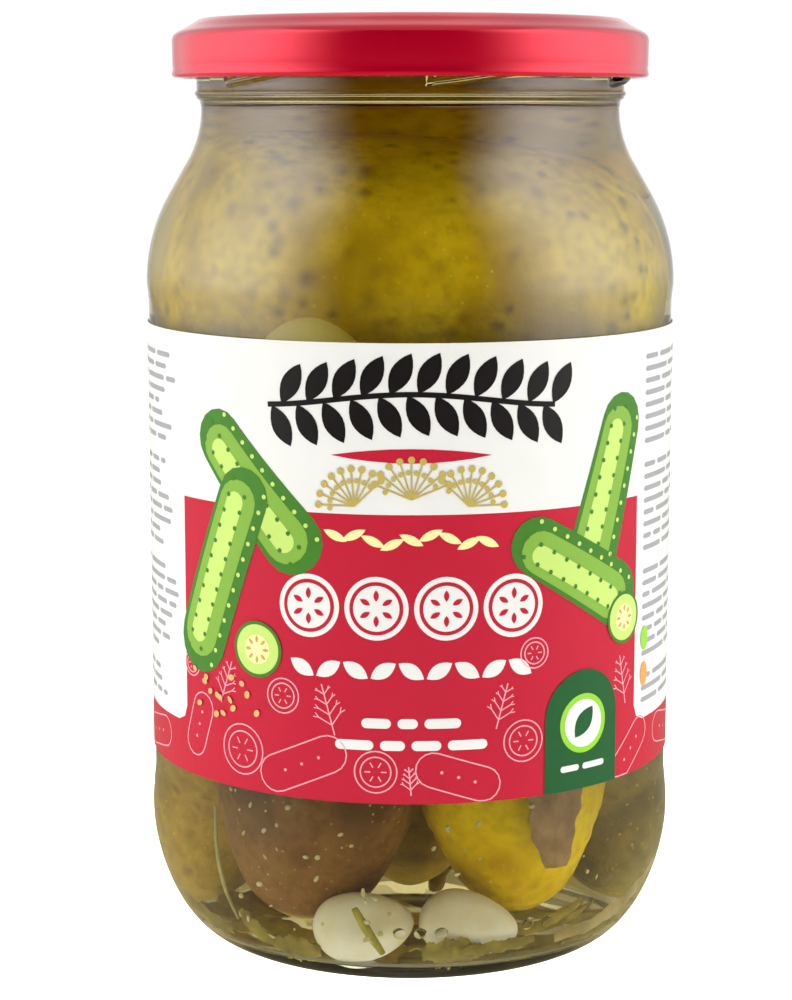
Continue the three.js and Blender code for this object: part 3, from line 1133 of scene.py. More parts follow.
@dataclass
class CucumberHeap:
    """All the cucumbers of the jar, each a mesh of its own, in the place of the fused heap."""

    profile: JarProfile = field(default_factory=JarProfile)
    gap: float = 0.15

    def members(self) -> list[Cucumber]:
        """Return the cucumbers with the sizes and places of the CAD heap."""
        return [
            Cucumber("cucumber_middle", (0, 1, 9.5), (1, 2, 112), 14.5, 0, Skin.OLIVE, 11, 96, 80),
            Cucumber("cucumber_front_left", (-15.5, -19.5, 9.5), (-16, -33.5, 116), 16.4, 0.8, Skin.BROWN, 12,
                     pale_from=0.8, blunt=5.0),
            Cucumber("cucumber_front_right", (16, -20, 10.5), (17.5, -21, 103), 15.8, -0.8, Skin.YELLOW, 13),
            Cucumber("cucumber_left", (-27.5, 7, 7.2), (-29, 7, 103), 15.4, 1, Skin.OLIVE, 14, 160, 150),
            Cucumber("cucumber_right", (27.5, 7.5, 7.6), (28.5, 9, 106), 15.6, -1, Skin.DULL, 15, 160, 150),
            Cucumber("cucumber_back", (-3, 25, 6.8), (-4, 26, 118), 17, 0.6, Skin.OLIVE, 16, 160, 150),
            Cucumber("cucumber_top", (-44, -12, 126.5), (41.9, -13, 116.6), 23.4, 1.5, Skin.GOLDEN, 17,
                     340, 260),
            # the neck cucumber wears the skin with painted light, brighter to make up for the lid's shade
            Cucumber("cucumber_neck", (-36, 17, 137.5), (38, 17, 137.5), 16.8, 0.5, Skin.SHADED, 18, 160, 150),
        ]

    def build(self) -> list[bpy.types.Object]:
        """Make and dress every cucumber.

        Returns:
            The cucumbers.
        """
        room = self.profile.room(self.gap)
        finishes = {skin: skin.value.make() for skin in Skin}
        pieces = []
        for member in self.members():
            piece = member.build(room)
            dress(piece, finishes[member.skin], 60)
            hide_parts("pickles")
            pieces.append(piece)
        return pieces


@dataclass
class GarlicClove:
    """A peeled clove: a flattened drop, blunt at the root and drawn out at the tip."""

    number: int
    centre: Point3
    half: Point3
    tip: float
    turn: float

    def build(self, finish: bpy.types.Material) -> bpy.types.Object:
        """Make the clove in its CAD node's place.

        Args:
            finish: the garlic's material.

        Returns:
            The clove.
        """
        deselect_all()
        bpy.ops.mesh.primitive_uv_sphere_add(segments=48, ring_count=36, radius=1.0, location=(0, 0, 0))
        piece = bpy.context.object
        piece.name = f"clove_{self.number}"
        unit = coordinates(piece)
        along = unit[:, 2].copy()
        turn = np.arctan2(unit[:, 1], unit[:, 0])
        ridge = 1 - 0.22 * along + 0.05 * np.cos(2 * turn) + 0.035 * np.cos(5 * turn + 1) * (1 - along**2)
        unit[:, :2] *= ridge[:, None]
        unit = np.stack([along, unit[:, 1], -unit[:, 0]], 1) * np.array(self.half)
        matrix = (Matrix.Rotation(math.radians(self.turn), 3, "Z")
                  @ Matrix.Rotation(math.radians(self.tip), 3, "Y"))
        move_points(piece, (unit @ np.array(matrix).T + np.array(self.centre)) * MM)
        dress(piece, finish, 60)
        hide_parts(f"garlic_clove_{self.number}")
        return piece


@dataclass
class Herbs:
    """The dill stalks, the bay leaf, and the small seeds and scraps that float at the glass."""

    profile: JarProfile = field(default_factory=JarProfile)
    leaf_angle: float = 33.5
    leaf_radius: float = 43.75
    leaf_low: float = 20.5
    leaf_length: float = 27.0
    leaf_half_width: float = 5.6
    leaf_wave: float = 0.32
    leaf_thickness: float = 0.3

    def stalk(self, number: int, radius: float, points: Sequence[Point3],
              finish: bpy.types.Material) -> bpy.types.Object:
        """Make one dill stalk: a ribbed tube that thins towards its ends.

        Args:
            number: which CAD stalk it stands for.
            radius: its radius in millimetres.
            points: radius, angle and height of the points of its middle line.
            finish: its material.

        Returns:
            The stalk.
        """
        path = smooth_path([on_wall(*point) for point in points], 12)
        last = len(path) - 1
        radii = [radius * (0.55 + 0.45 * math.sin(math.pi * (0.12 + 0.8 * i / last))) for i in range(last + 1)]
        piece = sweep(f"stalk_{number}", path, radii)
        dress(piece, finish, 60)
        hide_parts(f"dill_stalk_{number}")
        return piece

    def leaf(self) -> bpy.types.Object:
        """Make the bay leaf: a grid shaped to its outline, with a raised midrib and side veins."""
        deselect_all()
        bpy.ops.mesh.primitive_grid_add(x_subdivisions=40, y_subdivisions=70, size=2, location=(0, 0, 0))
        piece = bpy.context.object
        piece.name = "leaf_blade"
        flat = coordinates(piece)
        across, along = flat[:, 0], (flat[:, 1] + 1) / 2
        width = self.leaf_half_width * (0.12 + 0.88 * np.sin(math.pi * (0.06 + 0.88 * along)) ** 0.8)
        ragged = 1 + 0.05 * np.sin(along * 41) * np.abs(across) ** 4 + 0.06 * np.sin(along * 17 + 1) * across
        wave = self.leaf_wave * np.sin(along * 9 + across * 2)
        rib = 0.30 * np.exp(-((across * width / 0.45) ** 2))
        slant = (along * self.leaf_length - np.abs(across) * width * 0.9) / 3.2
        veins = 0.14 * np.exp(-(((slant - np.round(slant)) * 3.2 / 0.28) ** 2)) * (np.abs(across) < 0.9)
        radius = self.leaf_radius + wave + rib + veins
        angle = np.radians(self.leaf_angle) + across * width * ragged / self.leaf_radius
        height = self.leaf_low + self.leaf_length * along
        points = np.stack([radius * np.sin(angle), -radius * np.cos(angle), height], 1)
        move_points(piece, points * MM)
        make_active(piece)
        solidify = piece.modifiers.new("blade", "SOLIDIFY")
        solidify.thickness = self.leaf_thickness * MM
        solidify.offset = 0
        bpy.ops.object.modifier_apply(modifier=solidify.name)
        dress(piece, LEAF.make(), 60)
        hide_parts("bay_leaf")
        return piece

    def scraps(self) -> bpy.types.Object:
        """Make the seeds and crumbs of herb that stick to the lower cucumbers and the glass.

        Returns:
            All of them as one mesh.
        """
        rng = np.random.default_rng(5)
        room = self.profile.room(0.5)
        deselect_all()
        bpy.ops.mesh.primitive_ico_sphere_add(subdivisions=2, radius=1.0, location=(0, 0, 0))
        pattern = bpy.context.object
        copies = []
        for _ in range(46):
            angle = rng.uniform(-44, -2) if rng.random() < 0.8 else rng.uniform(4, 50)
            height = rng.uniform(9, 33)
            radius = float(room(np.array(height))) - rng.uniform(0.2, 0.7)
            size = rng.uniform(0.18, 0.5)
            copy = pattern.copy()
            copy.data = pattern.data.copy()
            bpy.context.scene.collection.objects.link(copy)
            shape = Matrix.Diagonal((size, size * 0.7, size * rng.uniform(0.9, 2.2), 1))
            spin = Matrix.Rotation(rng.uniform(0, math.pi), 4, "Y")
            face = Matrix.Rotation(math.radians(angle), 4, "Z")
            place = Matrix.Translation(on_wall(radius, angle, height))
            copy.data.transform(Matrix.Scale(MM, 4) @ place @ face @ spin @ shape)
            copies.append(copy)
        bpy.data.objects.remove(pattern)
        piece = join_all(copies, "seeds_and_scraps")
        dress(piece, SEED.make(), 60)
        return piece

    def strip(self, name: str, points: Sequence[Point3], width: float, lean: float,
              finish: bpy.types.Material) -> bpy.types.Object:
        """Make a thin strip of herb: a narrow grid bent along a line, with a frayed edge.

        Args:
            name: the piece's name.
            points: radius, angle and height of the points of its middle line.
            width: its width in millimetres.
            lean: how far its face leans back from the wall, in degrees.
            finish: its material.

        Returns:
            The strip.
        """
        line = np.array(smooth_path([on_wall(*point) for point in points], 14))
        deselect_all()
        bpy.ops.mesh.primitive_grid_add(
            x_subdivisions=6, y_subdivisions=len(line) - 1, size=2, location=(0, 0, 0))
        piece = bpy.context.object
        piece.name = name
        flat = coordinates(piece)
        across = flat[:, 0]
        row = np.round((flat[:, 1] + 1) / 2 * (len(line) - 1)).astype(int)
        share = row / (len(line) - 1)
        run = np.gradient(line, axis=0)
        run /= np.linalg.norm(run, axis=1)[:, None]
        out = line * np.array([1, 1, 0])
        out /= np.linalg.norm(out, axis=1)[:, None]
        side = np.cross(run, out)
        side /= np.linalg.norm(side, axis=1)[:, None]
        tilt = math.radians(lean)
        side = side * math.cos(tilt) - np.cross(run, side) * math.sin(tilt)
        half = width / 2 * (0.35 + 0.65 * np.sin(math.pi * (0.06 + 0.88 * share))) * (
            1 + 0.16 * np.sin(share * 23 + 2 * across) + 0.1 * np.sin(share * 61))
        curl = 0.12 * width * across**2 + 0.05 * width * np.sin(share * 13)
        normal = np.cross(side, run)
        points_out = line[row] + side[row] * (across * half)[:, None] - normal[row] * curl[:, None]
        move_points(piece, points_out * MM)
        make_active(piece)
        solidify = piece.modifiers.new("blade", "SOLIDIFY")
        solidify.thickness = 0.35 * MM
        solidify.offset = 0
        bpy.ops.object.modifier_apply(modifier=solidify.name)
        dress(piece, finish, 60)
        return piece

    def bed(self) -> list[bpy.types.Object]:
        """Make the strips of dill and horseradish that lie low round the heel.

        Returns:
            The strips.
        """
        frond, pale = FROND.make(), PALE_STRIP.make()
        strips = [
            ([(38.4, 38.5, 6.9), (39.8, 52, 8.0), (40.6, 66, 10.4), (41.2, 80, 14)], 2.6, 10, pale),
            ([(37.4, 42, 5.9), (38.6, 56, 6.6), (39.6, 70, 8.2)], 2.2, -5, frond),
            ([(38.6, 12, 6.8), (39.0, 22, 7.2), (38.6, 32, 7.6)], 2.0, 8, frond),
            ([(36.4, 3, 5.9), (36.8, 10, 6.2), (36.2, 19, 6.0)], 5.6, -30, frond),
            ([(40.6, -44.5, 11.2), (39.6, -41, 8.4), (37.6, -38, 6.0)], 2.8, 0, frond),
            ([(36.6, -38, 5.6), (37.0, -31, 5.8), (36.4, -24, 5.6)], 4.2, -20, frond),
            ([(38.8, -50, 6.6), (38.2, -62, 7.4), (38.4, -78, 9.2)], 3.0, 10, frond),
            ([(37.0, 30, 8.6), (37.6, 38, 10.4), (38.6, 47, 12.6)], 1.8, 25, frond),
            ([(36.0, 100, 6.4), (37.6, 125, 7.6), (38.6, 150, 9.8)], 3.4, 5, frond),
            ([(37.6, -100, 7.0), (36.6, -130, 6.4), (38.2, -160, 9.0)], 3.4, 5, pale),
            ([(24, 20, 6.6), (26, 60, 7.0), (24, 100, 6.8)], 5.0, -60, frond),
            ([(25, -30, 6.6), (26, -70, 7.0), (24, -110, 6.8)], 5.0, -60, frond),
            ([(12, 160, 6.8), (28, 170, 7.2), (34, 200, 7.6)], 5.0, -60, frond),
            ([(10, 0, 6.6), (20, 4, 6.8), (31, 2, 6.6)], 6.0, -70, frond),
            ([(12, -70, 6.8), (20, -28, 7.0), (31, -16, 6.6)], 7.0, -75, frond),
            ([(14, 60, 6.8), (23, 34, 7.0), (33, 26, 6.8)], 7.0, -75, frond),
            ([(10, 110, 6.9), (20, 84, 7.3), (33, 76, 7.2)], 7.0, -70, frond),
            ([(10, -110, 6.9), (20, -84, 7.3), (33, -72, 7.2)], 7.0, -70, frond),
        ]
        return [self.strip(f"herb_strip_{i + 1}", points, width, lean, finish)
                for i, (points, width, lean, finish) in enumerate(strips)]

    def build(self) -> list[bpy.types.Object]:
        """Make all the herbs.

        Returns:
            The stalks, the leaf, the scraps and the strips.
        """
        first = self.stalk(1, 0.8, [(41.3, -13, 14.8), (40.4, -10.5, 11.2), (38.0, -7, 6.6)], DILL.make())
        second = self.stalk(2, 0.45, [(43.6, -49, 29), (43.4, -48.5, 22), (42.6, -47, 15),
                                      (40.4, -45.5, 9.5)], STEM.make())
        return [first, second, self.leaf(), self.scraps(), *self.bed()]


# The label


@dataclass
class PrintedLabel:
    """The wrap-round label: a paper sleeve with a lapped seam, and thin layers of ink on it.

    The print is drawn flat, with x along the paper from the middle of the front and z as the height, and
    is then wrapped round the jar.
    """

    paper_radius: float = 47.47
    thickness: float = 0.16
    bottom: float = 34.5
    top: float = 112.2
    field_top: float = 83.8
    front_half: float = 46.0
    band_top: float = 43.5
    lift: float = 0.025
    strip: float = 2.0
    cut_above: float = 2.4
    shapes: dict = field(default_factory=dict)

    @property
    def half_turn(self) -> float:
        """Half the way round the paper, in millimetres."""
        return math.pi * (self.paper_radius + self.thickness)

    def wrapped(self, points: np.ndarray) -> np.ndarray:
        """Wrap flat points round the jar.

        Args:
            points: x along the paper, y towards the viewer as a lift below 0, and z up.

        Returns:
            The wrapped points.
        """
        base = self.paper_radius + self.thickness
        angle = points[:, 0] / base
        radius = base - points[:, 1]
        return np.stack([radius * np.sin(angle), -radius * np.cos(angle), points[:, 2]], 1)

    def patch(self, outline: Sequence[Point2], ink: Ink, layer: int) -> None:
        """Draw a filled outline.

        Args:
            outline: the corners in order, x and z in millimetres.
            ink: its colour.
            layer: how many inks lie below it.
        """
        closed = [*outline, outline[0]]
        area = sum(a[0] * b[1] - b[0] * a[1] for a, b in zip(closed, closed[1:]))
        dense = []
        for (x, z), (next_x, next_z) in zip(closed, closed[1:]):
            steps = max(1, math.ceil(abs(next_x - x) / self.strip))
            dense += [(x + (next_x - x) * i / steps, z + (next_z - z) * i / steps) for i in range(steps)]
        if area < 0:
            dense.reverse()
        spans = [max(values) - min(values) for values in zip(*dense)]
        self.shapes.setdefault((ink, spans[0] > self.cut_above), []).append((layer, dense))

    def disc(self, x: float, z: float, rx: float, rz: float, ink: Ink, layer: int, turn: float = 0,
             sides: int = 28) -> None:
        """Draw an ellipse with half sizes rx and rz, turned by some degrees."""
        self.patch(self.turned_outline(
            [(rx * math.cos(a), rz * math.sin(a)) for a in np.linspace(0, 2 * math.pi, sides, False)],
            x, z, turn), ink, layer)

    def pill(self, x: float, z: float, length: float, width: float, ink: Ink, layer: int,
             turn: float = 0, taper: float = 0.0) -> None:
        """Draw a bar with round ends, which may be narrower at one end.

        Args:
            x: its middle along the paper.
            z: its middle's height.
            length: its whole length.
            width: its width.
            ink: its colour.
            layer: how many inks lie below it.
            turn: its turn in degrees.
            taper: how much narrower its far end is, as a share.
        """
        self.patch(self.turned_outline(self.pill_outline(length, width, taper), x, z, turn), ink, layer)

    @staticmethod
    def pill_outline(length: float, width: float, taper: float = 0.0, steps: int = 9) -> list[Point2]:
        """Return the outline of a bar with round ends along x."""
        near, far = width / 2, width / 2 * (1 - taper)
        reach = length / 2
        left = [(-reach + near + near * math.cos(a), near * math.sin(a))
                for a in np.linspace(math.pi / 2, 3 * math.pi / 2, steps)]
        right = [(reach - far + far * math.cos(a), far * math.sin(a))
                 for a in np.linspace(-math.pi / 2, math.pi / 2, steps)]
        return left + right

    @staticmethod
    def leaf_outline(length: float, width: float, steps: int = 9) -> list[Point2]:
        """Return the outline of a leaf with two points along x."""
        upper = [(length * (t - 0.5), width / 2 * math.sin(math.pi * t) ** 0.85)
                 for t in np.linspace(0, 1, steps)]
        lower = [(x, -z) for x, z in reversed(upper[1:-1])]
        return upper + lower

    @staticmethod
    def turned_outline(points: Sequence[Point2], x: float, z: float, turn: float) -> list[Point2]:
        """Turn an outline by some degrees and move it to x and z."""
        c, s = math.cos(math.radians(turn)), math.sin(math.radians(turn))
        return [(x + px * c - pz * s, z + px * s + pz * c) for px, pz in points]

    def leaf(self, x: float, z: float, length: float, width: float, ink: Ink, layer: int,
             turn: float = 0) -> None:
        """Draw a leaf with two points."""
        self.patch(self.turned_outline(self.leaf_outline(length, width), x, z, turn), ink, layer)

    def stroke(self, points: Sequence[Point2], ink: Ink, layer: int, width: float = 0.26,
               closed: bool = False) -> None:
        """Draw a thin line along some points.

        Args:
            points: the line's points, x and z in millimetres.
            ink: its colour.
            layer: how many inks lie below it.
            width: the line's width.
            closed: whether its last point joins its first.
        """
        line = [*points, points[0]] if closed else list(points)
        left, right = [], []
        for i, (x, z) in enumerate(line):
            before = line[i - 1] if i else line[-2 if closed else 0]
            after = line[i + 1] if i + 1 < len(line) else line[1 if closed else -1]
            dx, dz = after[0] - before[0], after[1] - before[1]
            share = width / 2 / math.hypot(dx, dz)
            left.append((x - dz * share, z + dx * share))
            right.append((x + dz * share, z - dx * share))
        for start in range(0, len(line) - 1, 6):
            self.patch(left[start : start + 7] + right[start : start + 7][::-1], ink, layer)

    def fields(self) -> None:
        """Draw the crimson field: a block on the front and a band round the foot."""
        edge = self.half_turn - 0.3
        corner = 3.0
        self.patch([(-edge, self.bottom), (edge, self.bottom), (edge, self.band_top),
                    (self.front_half + corner, self.band_top),
                    (self.front_half + 0.9, self.band_top + 0.9),
                    (self.front_half, self.band_top + corner),
                    (self.front_half, self.field_top), (-self.front_half, self.field_top),
                    (-self.front_half, self.band_top + corner),
                    (-self.front_half - 0.9, self.band_top + 0.9),
                    (-self.front_half - corner, self.band_top), (-edge, self.band_top)],
                   Ink.CRIMSON, 0)

    def garland(self) -> None:
        """Draw the black branch of leaves over the field, with a crimson leaf below it."""
        self.stroke([(x, 102.6 + 1.2 * math.cos(x / 9)) for x in range(-25, 26)], Ink.BLACK, 1, 0.9)
        for i in range(-5, 6):
            for side in (-1, 1):
                x = i * 4.7 + side * 0.9
                height = 102.6 + 1.2 * math.cos(x / 9)
                self.leaf(x + 2.0, height + side * 3.5, 7.6, 3.5, Ink.BLACK, 1, side * 62)
        self.leaf(0, 93.6, 27, 2.4, Ink.CRIMSON, 1)

    def printed_cucumber(self, x: float, z: float, length: float, width: float, turn: float,
                         layer: int) -> None:
        """Draw a plain green cucumber with lighter bands and rows of dots."""
        self.pill(x, z, length, width, Ink.RIND_GREEN, layer, turn, 0.12)
        for share, ink, shift in ((0.72, Ink.LEAF_GREEN, 0.06), (0.34, Ink.PALE_GREEN, 0.1)):
            inner = self.turned_outline(
                self.pill_outline(length - width * (1.15 - share), width * share, 0.1), 0, width * shift, 0)
            layer += 1
            self.patch(self.turned_outline(inner, x, z, turn), ink, layer)
        count = int(length / 3.2)
        for i in range(count):
            along = (i + 0.5 - count / 2) * 3.0
            for row, ink in ((-0.34, Ink.PALE_GREEN), (-0.04, Ink.RIND_GREEN), (0.24, Ink.RIND_GREEN)):
                place = [(along + (1.1 if row == -0.04 else 0), row * width)]
                spot = self.turned_outline(place, x, z, turn)[0]
                self.disc(*spot, 0.42, 0.42, ink, layer + 1, sides=8)

    def printed_slice(self, x: float, z: float, radius: float, layer: int) -> None:
        """Draw a cucumber slice: rind, flesh and a ring of seeds."""
        self.disc(x, z, radius, radius, Ink.RIND_GREEN, layer, sides=36)
        self.disc(x, z, radius * 0.88, radius * 0.88, Ink.PALE_GREEN, layer + 1, sides=36)
        self.disc(x, z, radius * 0.52, radius * 0.52, Ink.CREAM, layer + 2)
        for i in range(8):
            a = i * math.pi / 4
            self.leaf(x + radius * 0.36 * math.cos(a), z + radius * 0.36 * math.sin(a), radius * 0.26,
                      radius * 0.12, Ink.GOLD, layer + 3, math.degrees(a))

    def cucumber_groups(self) -> None:
        """Draw the green groups at both sides of the front."""
        self.printed_cucumber(-28.0, 86.5, 33, 11.5, 133, 1)
        self.printed_cucumber(-35.8, 72.0, 39, 12.0, 68, 4)
        self.printed_slice(-27.5, 59.5, 4.9, 7)
        self.printed_cucumber(36.8, 84.5, 37, 12.0, 72, 1)
        self.printed_cucumber(31.0, 72.5, 31, 11.5, 150, 4)
        self.printed_slice(42.0, 63.0, 4.6, 7)

    def umbel(self, x: float, z: float, spread: float, turn: float) -> None:
        """Draw a golden dill umbel: rays with a dot at each end."""
        for i in range(-4, 5):
            a = math.radians(90 + turn + i * 17)
            end = (x + spread * math.cos(a), z + spread * math.sin(a))
            self.stroke([(x, z), end], Ink.GOLD, 3, 0.3)
            self.disc(*end, 0.62, 0.62, Ink.GOLD, 4, sides=10)
            near = (x + spread * 0.68 * math.cos(a + 0.12), z + spread * 0.68 * math.sin(a + 0.12))
            self.disc(*near, 0.45, 0.45, Ink.GOLD, 4, sides=8)

    def middle_motifs(self) -> None:
        """Draw the umbels, the cream garland and the white motifs down the middle of the field."""
        self.umbel(-9.5, 85.2, 6.2, 22)
        self.umbel(0, 86.4, 6.6, 0)
        self.umbel(9.5, 85.2, 6.2, -22)
        for i in range(-4, 5):
            self.leaf(i * 3.2, 79.6 + 0.8 * math.sin(i * 1.4), 4.4, 1.5, Ink.CREAM, 1, 25 if i % 2 else -25)
        for i in range(4):
            self.white_slice((i - 1.5) * 11.7, 68.0, 5.4)
        for i in range(-4, 5):
            self.leaf(i * 4.7, 57.4, 5.0, 2.5, Ink.WHITE, 1, 32 if i % 2 else -32)
        self.bars(0, 48.4, [5.0, 3.4, 6.2], 1.7, Ink.WHITE, 1)
        self.bars(0, 44.6, [6.6, 4.2, 5.0, 6.8], 1.7, Ink.WHITE, 1)

    def white_slice(self, x: float, z: float, radius: float) -> None:
        """Draw a cucumber slice in white with crimson seeds."""
        self.disc(x, z, radius, radius, Ink.WHITE, 1, sides=40)
        self.disc(x, z, radius * 0.84, radius * 0.84, Ink.CRIMSON, 2, sides=40)
        self.disc(x, z, radius * 0.72, radius * 0.72, Ink.WHITE, 3, sides=36)
        for i in range(6):
            a = math.radians(i * 60 + 30)
            self.leaf(x + radius * 0.4 * math.cos(a), z + radius * 0.4 * math.sin(a), radius * 0.36,
                      radius * 0.17, Ink.CRIMSON, 4, math.degrees(a))

    def bars(self, middle: float, z: float, lengths: Sequence[float], height: float, ink: Ink,
             layer: int, gap: float = 1.1) -> None:
        """Draw a row of short bars.

        Args:
            middle: the row's middle along the paper.
            z: the row's height.
            lengths: each bar's length.
            height: the bars' height.
            ink: their colour.
            layer: how many inks lie below them.
            gap: the space between them.
        """
        x = middle - (sum(lengths) + gap * (len(lengths) - 1)) / 2
        for length in lengths:
            self.pill(x + length / 2, z, length, height, ink, layer)
            x += length + gap

    def tab(self) -> None:
        """Draw the arched green tab with a light disc and a leaf."""
        left, right, top = 23.6, 40.1, 55.4
        radius = (right - left) / 2
        middle = (left + right) / 2
        arch = [(middle + radius * math.cos(a), top - radius + radius * math.sin(a))
                for a in np.linspace(0, math.pi, 19)]
        self.patch([(right, self.bottom), *arch, (left, self.bottom)], Ink.DEEP_GREEN, 5)
        self.disc(middle, 46.0, 5.2, 5.2, Ink.BRIGHT_GREEN, 6, sides=36)
        self.disc(middle, 46.0, 4.2, 4.2, Ink.WHITE, 7, sides=36)
        self.leaf(middle, 46.2, 6.4, 3.4, Ink.DEEP_GREEN, 8, 52)
        self.bars(middle, 38.4, [4.0, 5.2], 1.1, Ink.WHITE, 6, 0.8)

    def line_art(self) -> None:
        """Draw the thin pink outlines that fill the crimson field."""
        pink, layer = Ink.PALE_PINK, 1
        for x, z, length, width, turn in ((-19, 40.5, 17, 6.5, 24), (8, 39.0, 15, 6, -18),
                                          (-42, 44.0, 12, 5.5, 70), (45, 39.0, 13, 5.5, 40),
                                          (-60, 39.0, 15, 5.5, 10), (62, 39.2, 16, 5.5, -12),
                                          (100, 39, 16, 5.5, 14), (-104, 39, 16, 5.5, -10)):
            outline = self.turned_outline(self.pill_outline(length, width), x, z, turn)
            kept = [(px, max(pz, self.bottom + 0.2)) for px, pz in outline]
            self.stroke(kept, pink, layer, 0.24, closed=True)
            for i in (-1, 0, 1):
                spot = self.turned_outline([(i * length * 0.2, 0)], x, z, turn)[0]
                self.disc(*spot, 0.28, 0.28, pink, layer, sides=8)
        for x, z, radius in ((-31, 41.5, 4.4), (-6, 40.0, 3.6), (19.5, 44.5, 3.6), (-22.5, 52.0, 3.0),
                             (21.5, 59.5, 2.6), (-44.0, 54.5, 2.2), (-80, 39, 3.4), (80, 39, 3.4),
                             (123, 39, 3.4), (-126, 39, 3.4)):
            for share in (1.0, 0.72):
                circle = [(x + radius * share * math.cos(a), z + radius * share * math.sin(a))
                          for a in np.linspace(0, 2 * math.pi, 28, False)]
                self.stroke(circle, pink, layer, 0.24, closed=True)
            for i in range(6):
                a = i * math.pi / 3
                self.stroke([(x + radius * 0.25 * math.cos(a), z + radius * 0.25 * math.sin(a)),
                             (x + radius * 0.52 * math.cos(a), z + radius * 0.52 * math.sin(a))],
                            pink, layer, 0.22)
        for x, z, height, lean in ((-13, 46.0, 9, 15), (14.5, 47.0, 8, -15), (-36, 49, 8, -20),
                                   (43, 47.5, 9, 12), (-70, 36, 6, 10), (71, 36, 6, -10), (0, 36, 5, 5)):
            self.sprig(x, z, height, lean)

    def sprig(self, x: float, z: float, height: float, lean: float) -> None:
        """Draw a thin pink sprig with paired twigs."""
        c, s = math.cos(math.radians(90 + lean)), math.sin(math.radians(90 + lean))
        self.stroke([(x, z), (x + c * height, z + s * height)], Ink.PALE_PINK, 1, 0.24)
        for i in range(1, 5):
            root = (x + c * height * i / 5, z + s * height * i / 5)
            reach = height * (0.34 - 0.05 * i)
            for side in (-1, 1):
                a = math.radians(90 + lean + side * 48)
                tip = (root[0] + reach * math.cos(a), root[1] + reach * math.sin(a))
                self.stroke([root, tip], Ink.PALE_PINK, 1, 0.2)
                for fork in (-22, 22):
                    b = a + math.radians(fork)
                    end = (tip[0] + reach * 0.4 * math.cos(b), tip[1] + reach * 0.4 * math.sin(b))
                    self.stroke([tip, end], Ink.PALE_PINK, 1, 0.18)

    def seeds(self) -> None:
        """Scatter the tan seeds low on the left of the field."""
        rng = np.random.default_rng(3)
        for _ in range(16):
            x, z = rng.uniform(-43, -27), rng.uniform(46, 54)
            self.disc(x, z, rng.uniform(0.5, 0.8), rng.uniform(0.4, 0.6), Ink.TAN, 9,
                      rng.uniform(0, 180), sides=10)

    def panels(self) -> None:
        """Draw grey bars in place of the small print on the white panels at the sides and the back."""
        rng = np.random.default_rng(9)
        for start, end, row_height, bar in ((48.5, 84, 2.1, 0.9), (88, 140, 2.6, 1.2), (-84, -48.5, 2.1, 0.9),
                                            (-140, -88, 2.4, 1.0)):
            z = self.top - 4.5
            row = 0
            while z > self.band_top + 3:
                row += 1
                if row % 9 == 0:
                    z -= row_height
                    continue
                x = start
                stop = end - rng.uniform(0, 9)
                while x < stop - 2:
                    length = min(rng.uniform(3.0, 12.0), stop - x)
                    self.patch(self.turned_outline(self.pill_outline(length, bar, steps=3), x + length / 2, z, 0),
                               Ink.GREY, 0)
                    x += length + 0.9
                z -= row_height
        self.disc(49.5, 58.0, 1.4, 2.2, Ink.BRIGHT_GREEN, 2)
        self.disc(49.5, 51.5, 1.4, 2.2, Ink.ORANGE, 2)

    def paper(self) -> bpy.types.Object:
        """Make the paper sleeve with its lapped seam at the back."""
        lap = 6.0
        deselect_all()
        bpy.ops.mesh.primitive_grid_add(x_subdivisions=240, y_subdivisions=12, size=2, location=(0, 0, 0))
        piece = bpy.context.object
        piece.name = "label_paper"
        flat = coordinates(piece)
        x = flat[:, 0] * (self.half_turn + lap / 2) + lap / 2
        z = self.bottom + (flat[:, 1] + 1) / 2 * (self.top - self.bottom)
        rise = np.clip((x - (self.half_turn - lap * 1.6)) / lap, 0, 1)
        rise = rise * rise * (3 - 2 * rise) * (self.thickness + 0.03)
        middle = self.thickness / 2
        move_points(piece, self.wrapped(np.stack([x, middle - rise, z], 1)) * MM)
        make_active(piece)
        solidify = piece.modifiers.new("paper", "SOLIDIFY")
        solidify.thickness = self.thickness * MM
        solidify.offset = 0
        bpy.ops.object.modifier_apply(modifier=solidify.name)
        return piece

    def build(self) -> list[bpy.types.Object]:
        """Make the paper and wrap every layer of ink round it.

        Returns:
            The paper and the inks.
        """
        finishes = {ink: CoatedPaper(ink.name.lower(), ink.value).make() for ink in Ink}
        paper = self.paper()
        dress(paper, finishes[Ink.WHITE])
        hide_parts("label")
        for draw in (self.fields, self.garland, self.cucumber_groups, self.middle_motifs, self.tab,
                     self.line_art, self.seeds, self.panels):
            draw()
        pieces = [paper]
        for ink in Ink:
            layers = [self.flat(ink, wide) for wide in (False, True) if (ink, wide) in self.shapes]
            piece = join_all(layers, f"ink_{ink.name.lower()}")
            move_points(piece, self.wrapped(coordinates(piece)) * MM)
            dress(piece, finishes[ink], 60)
            pieces.append(piece)
        return pieces

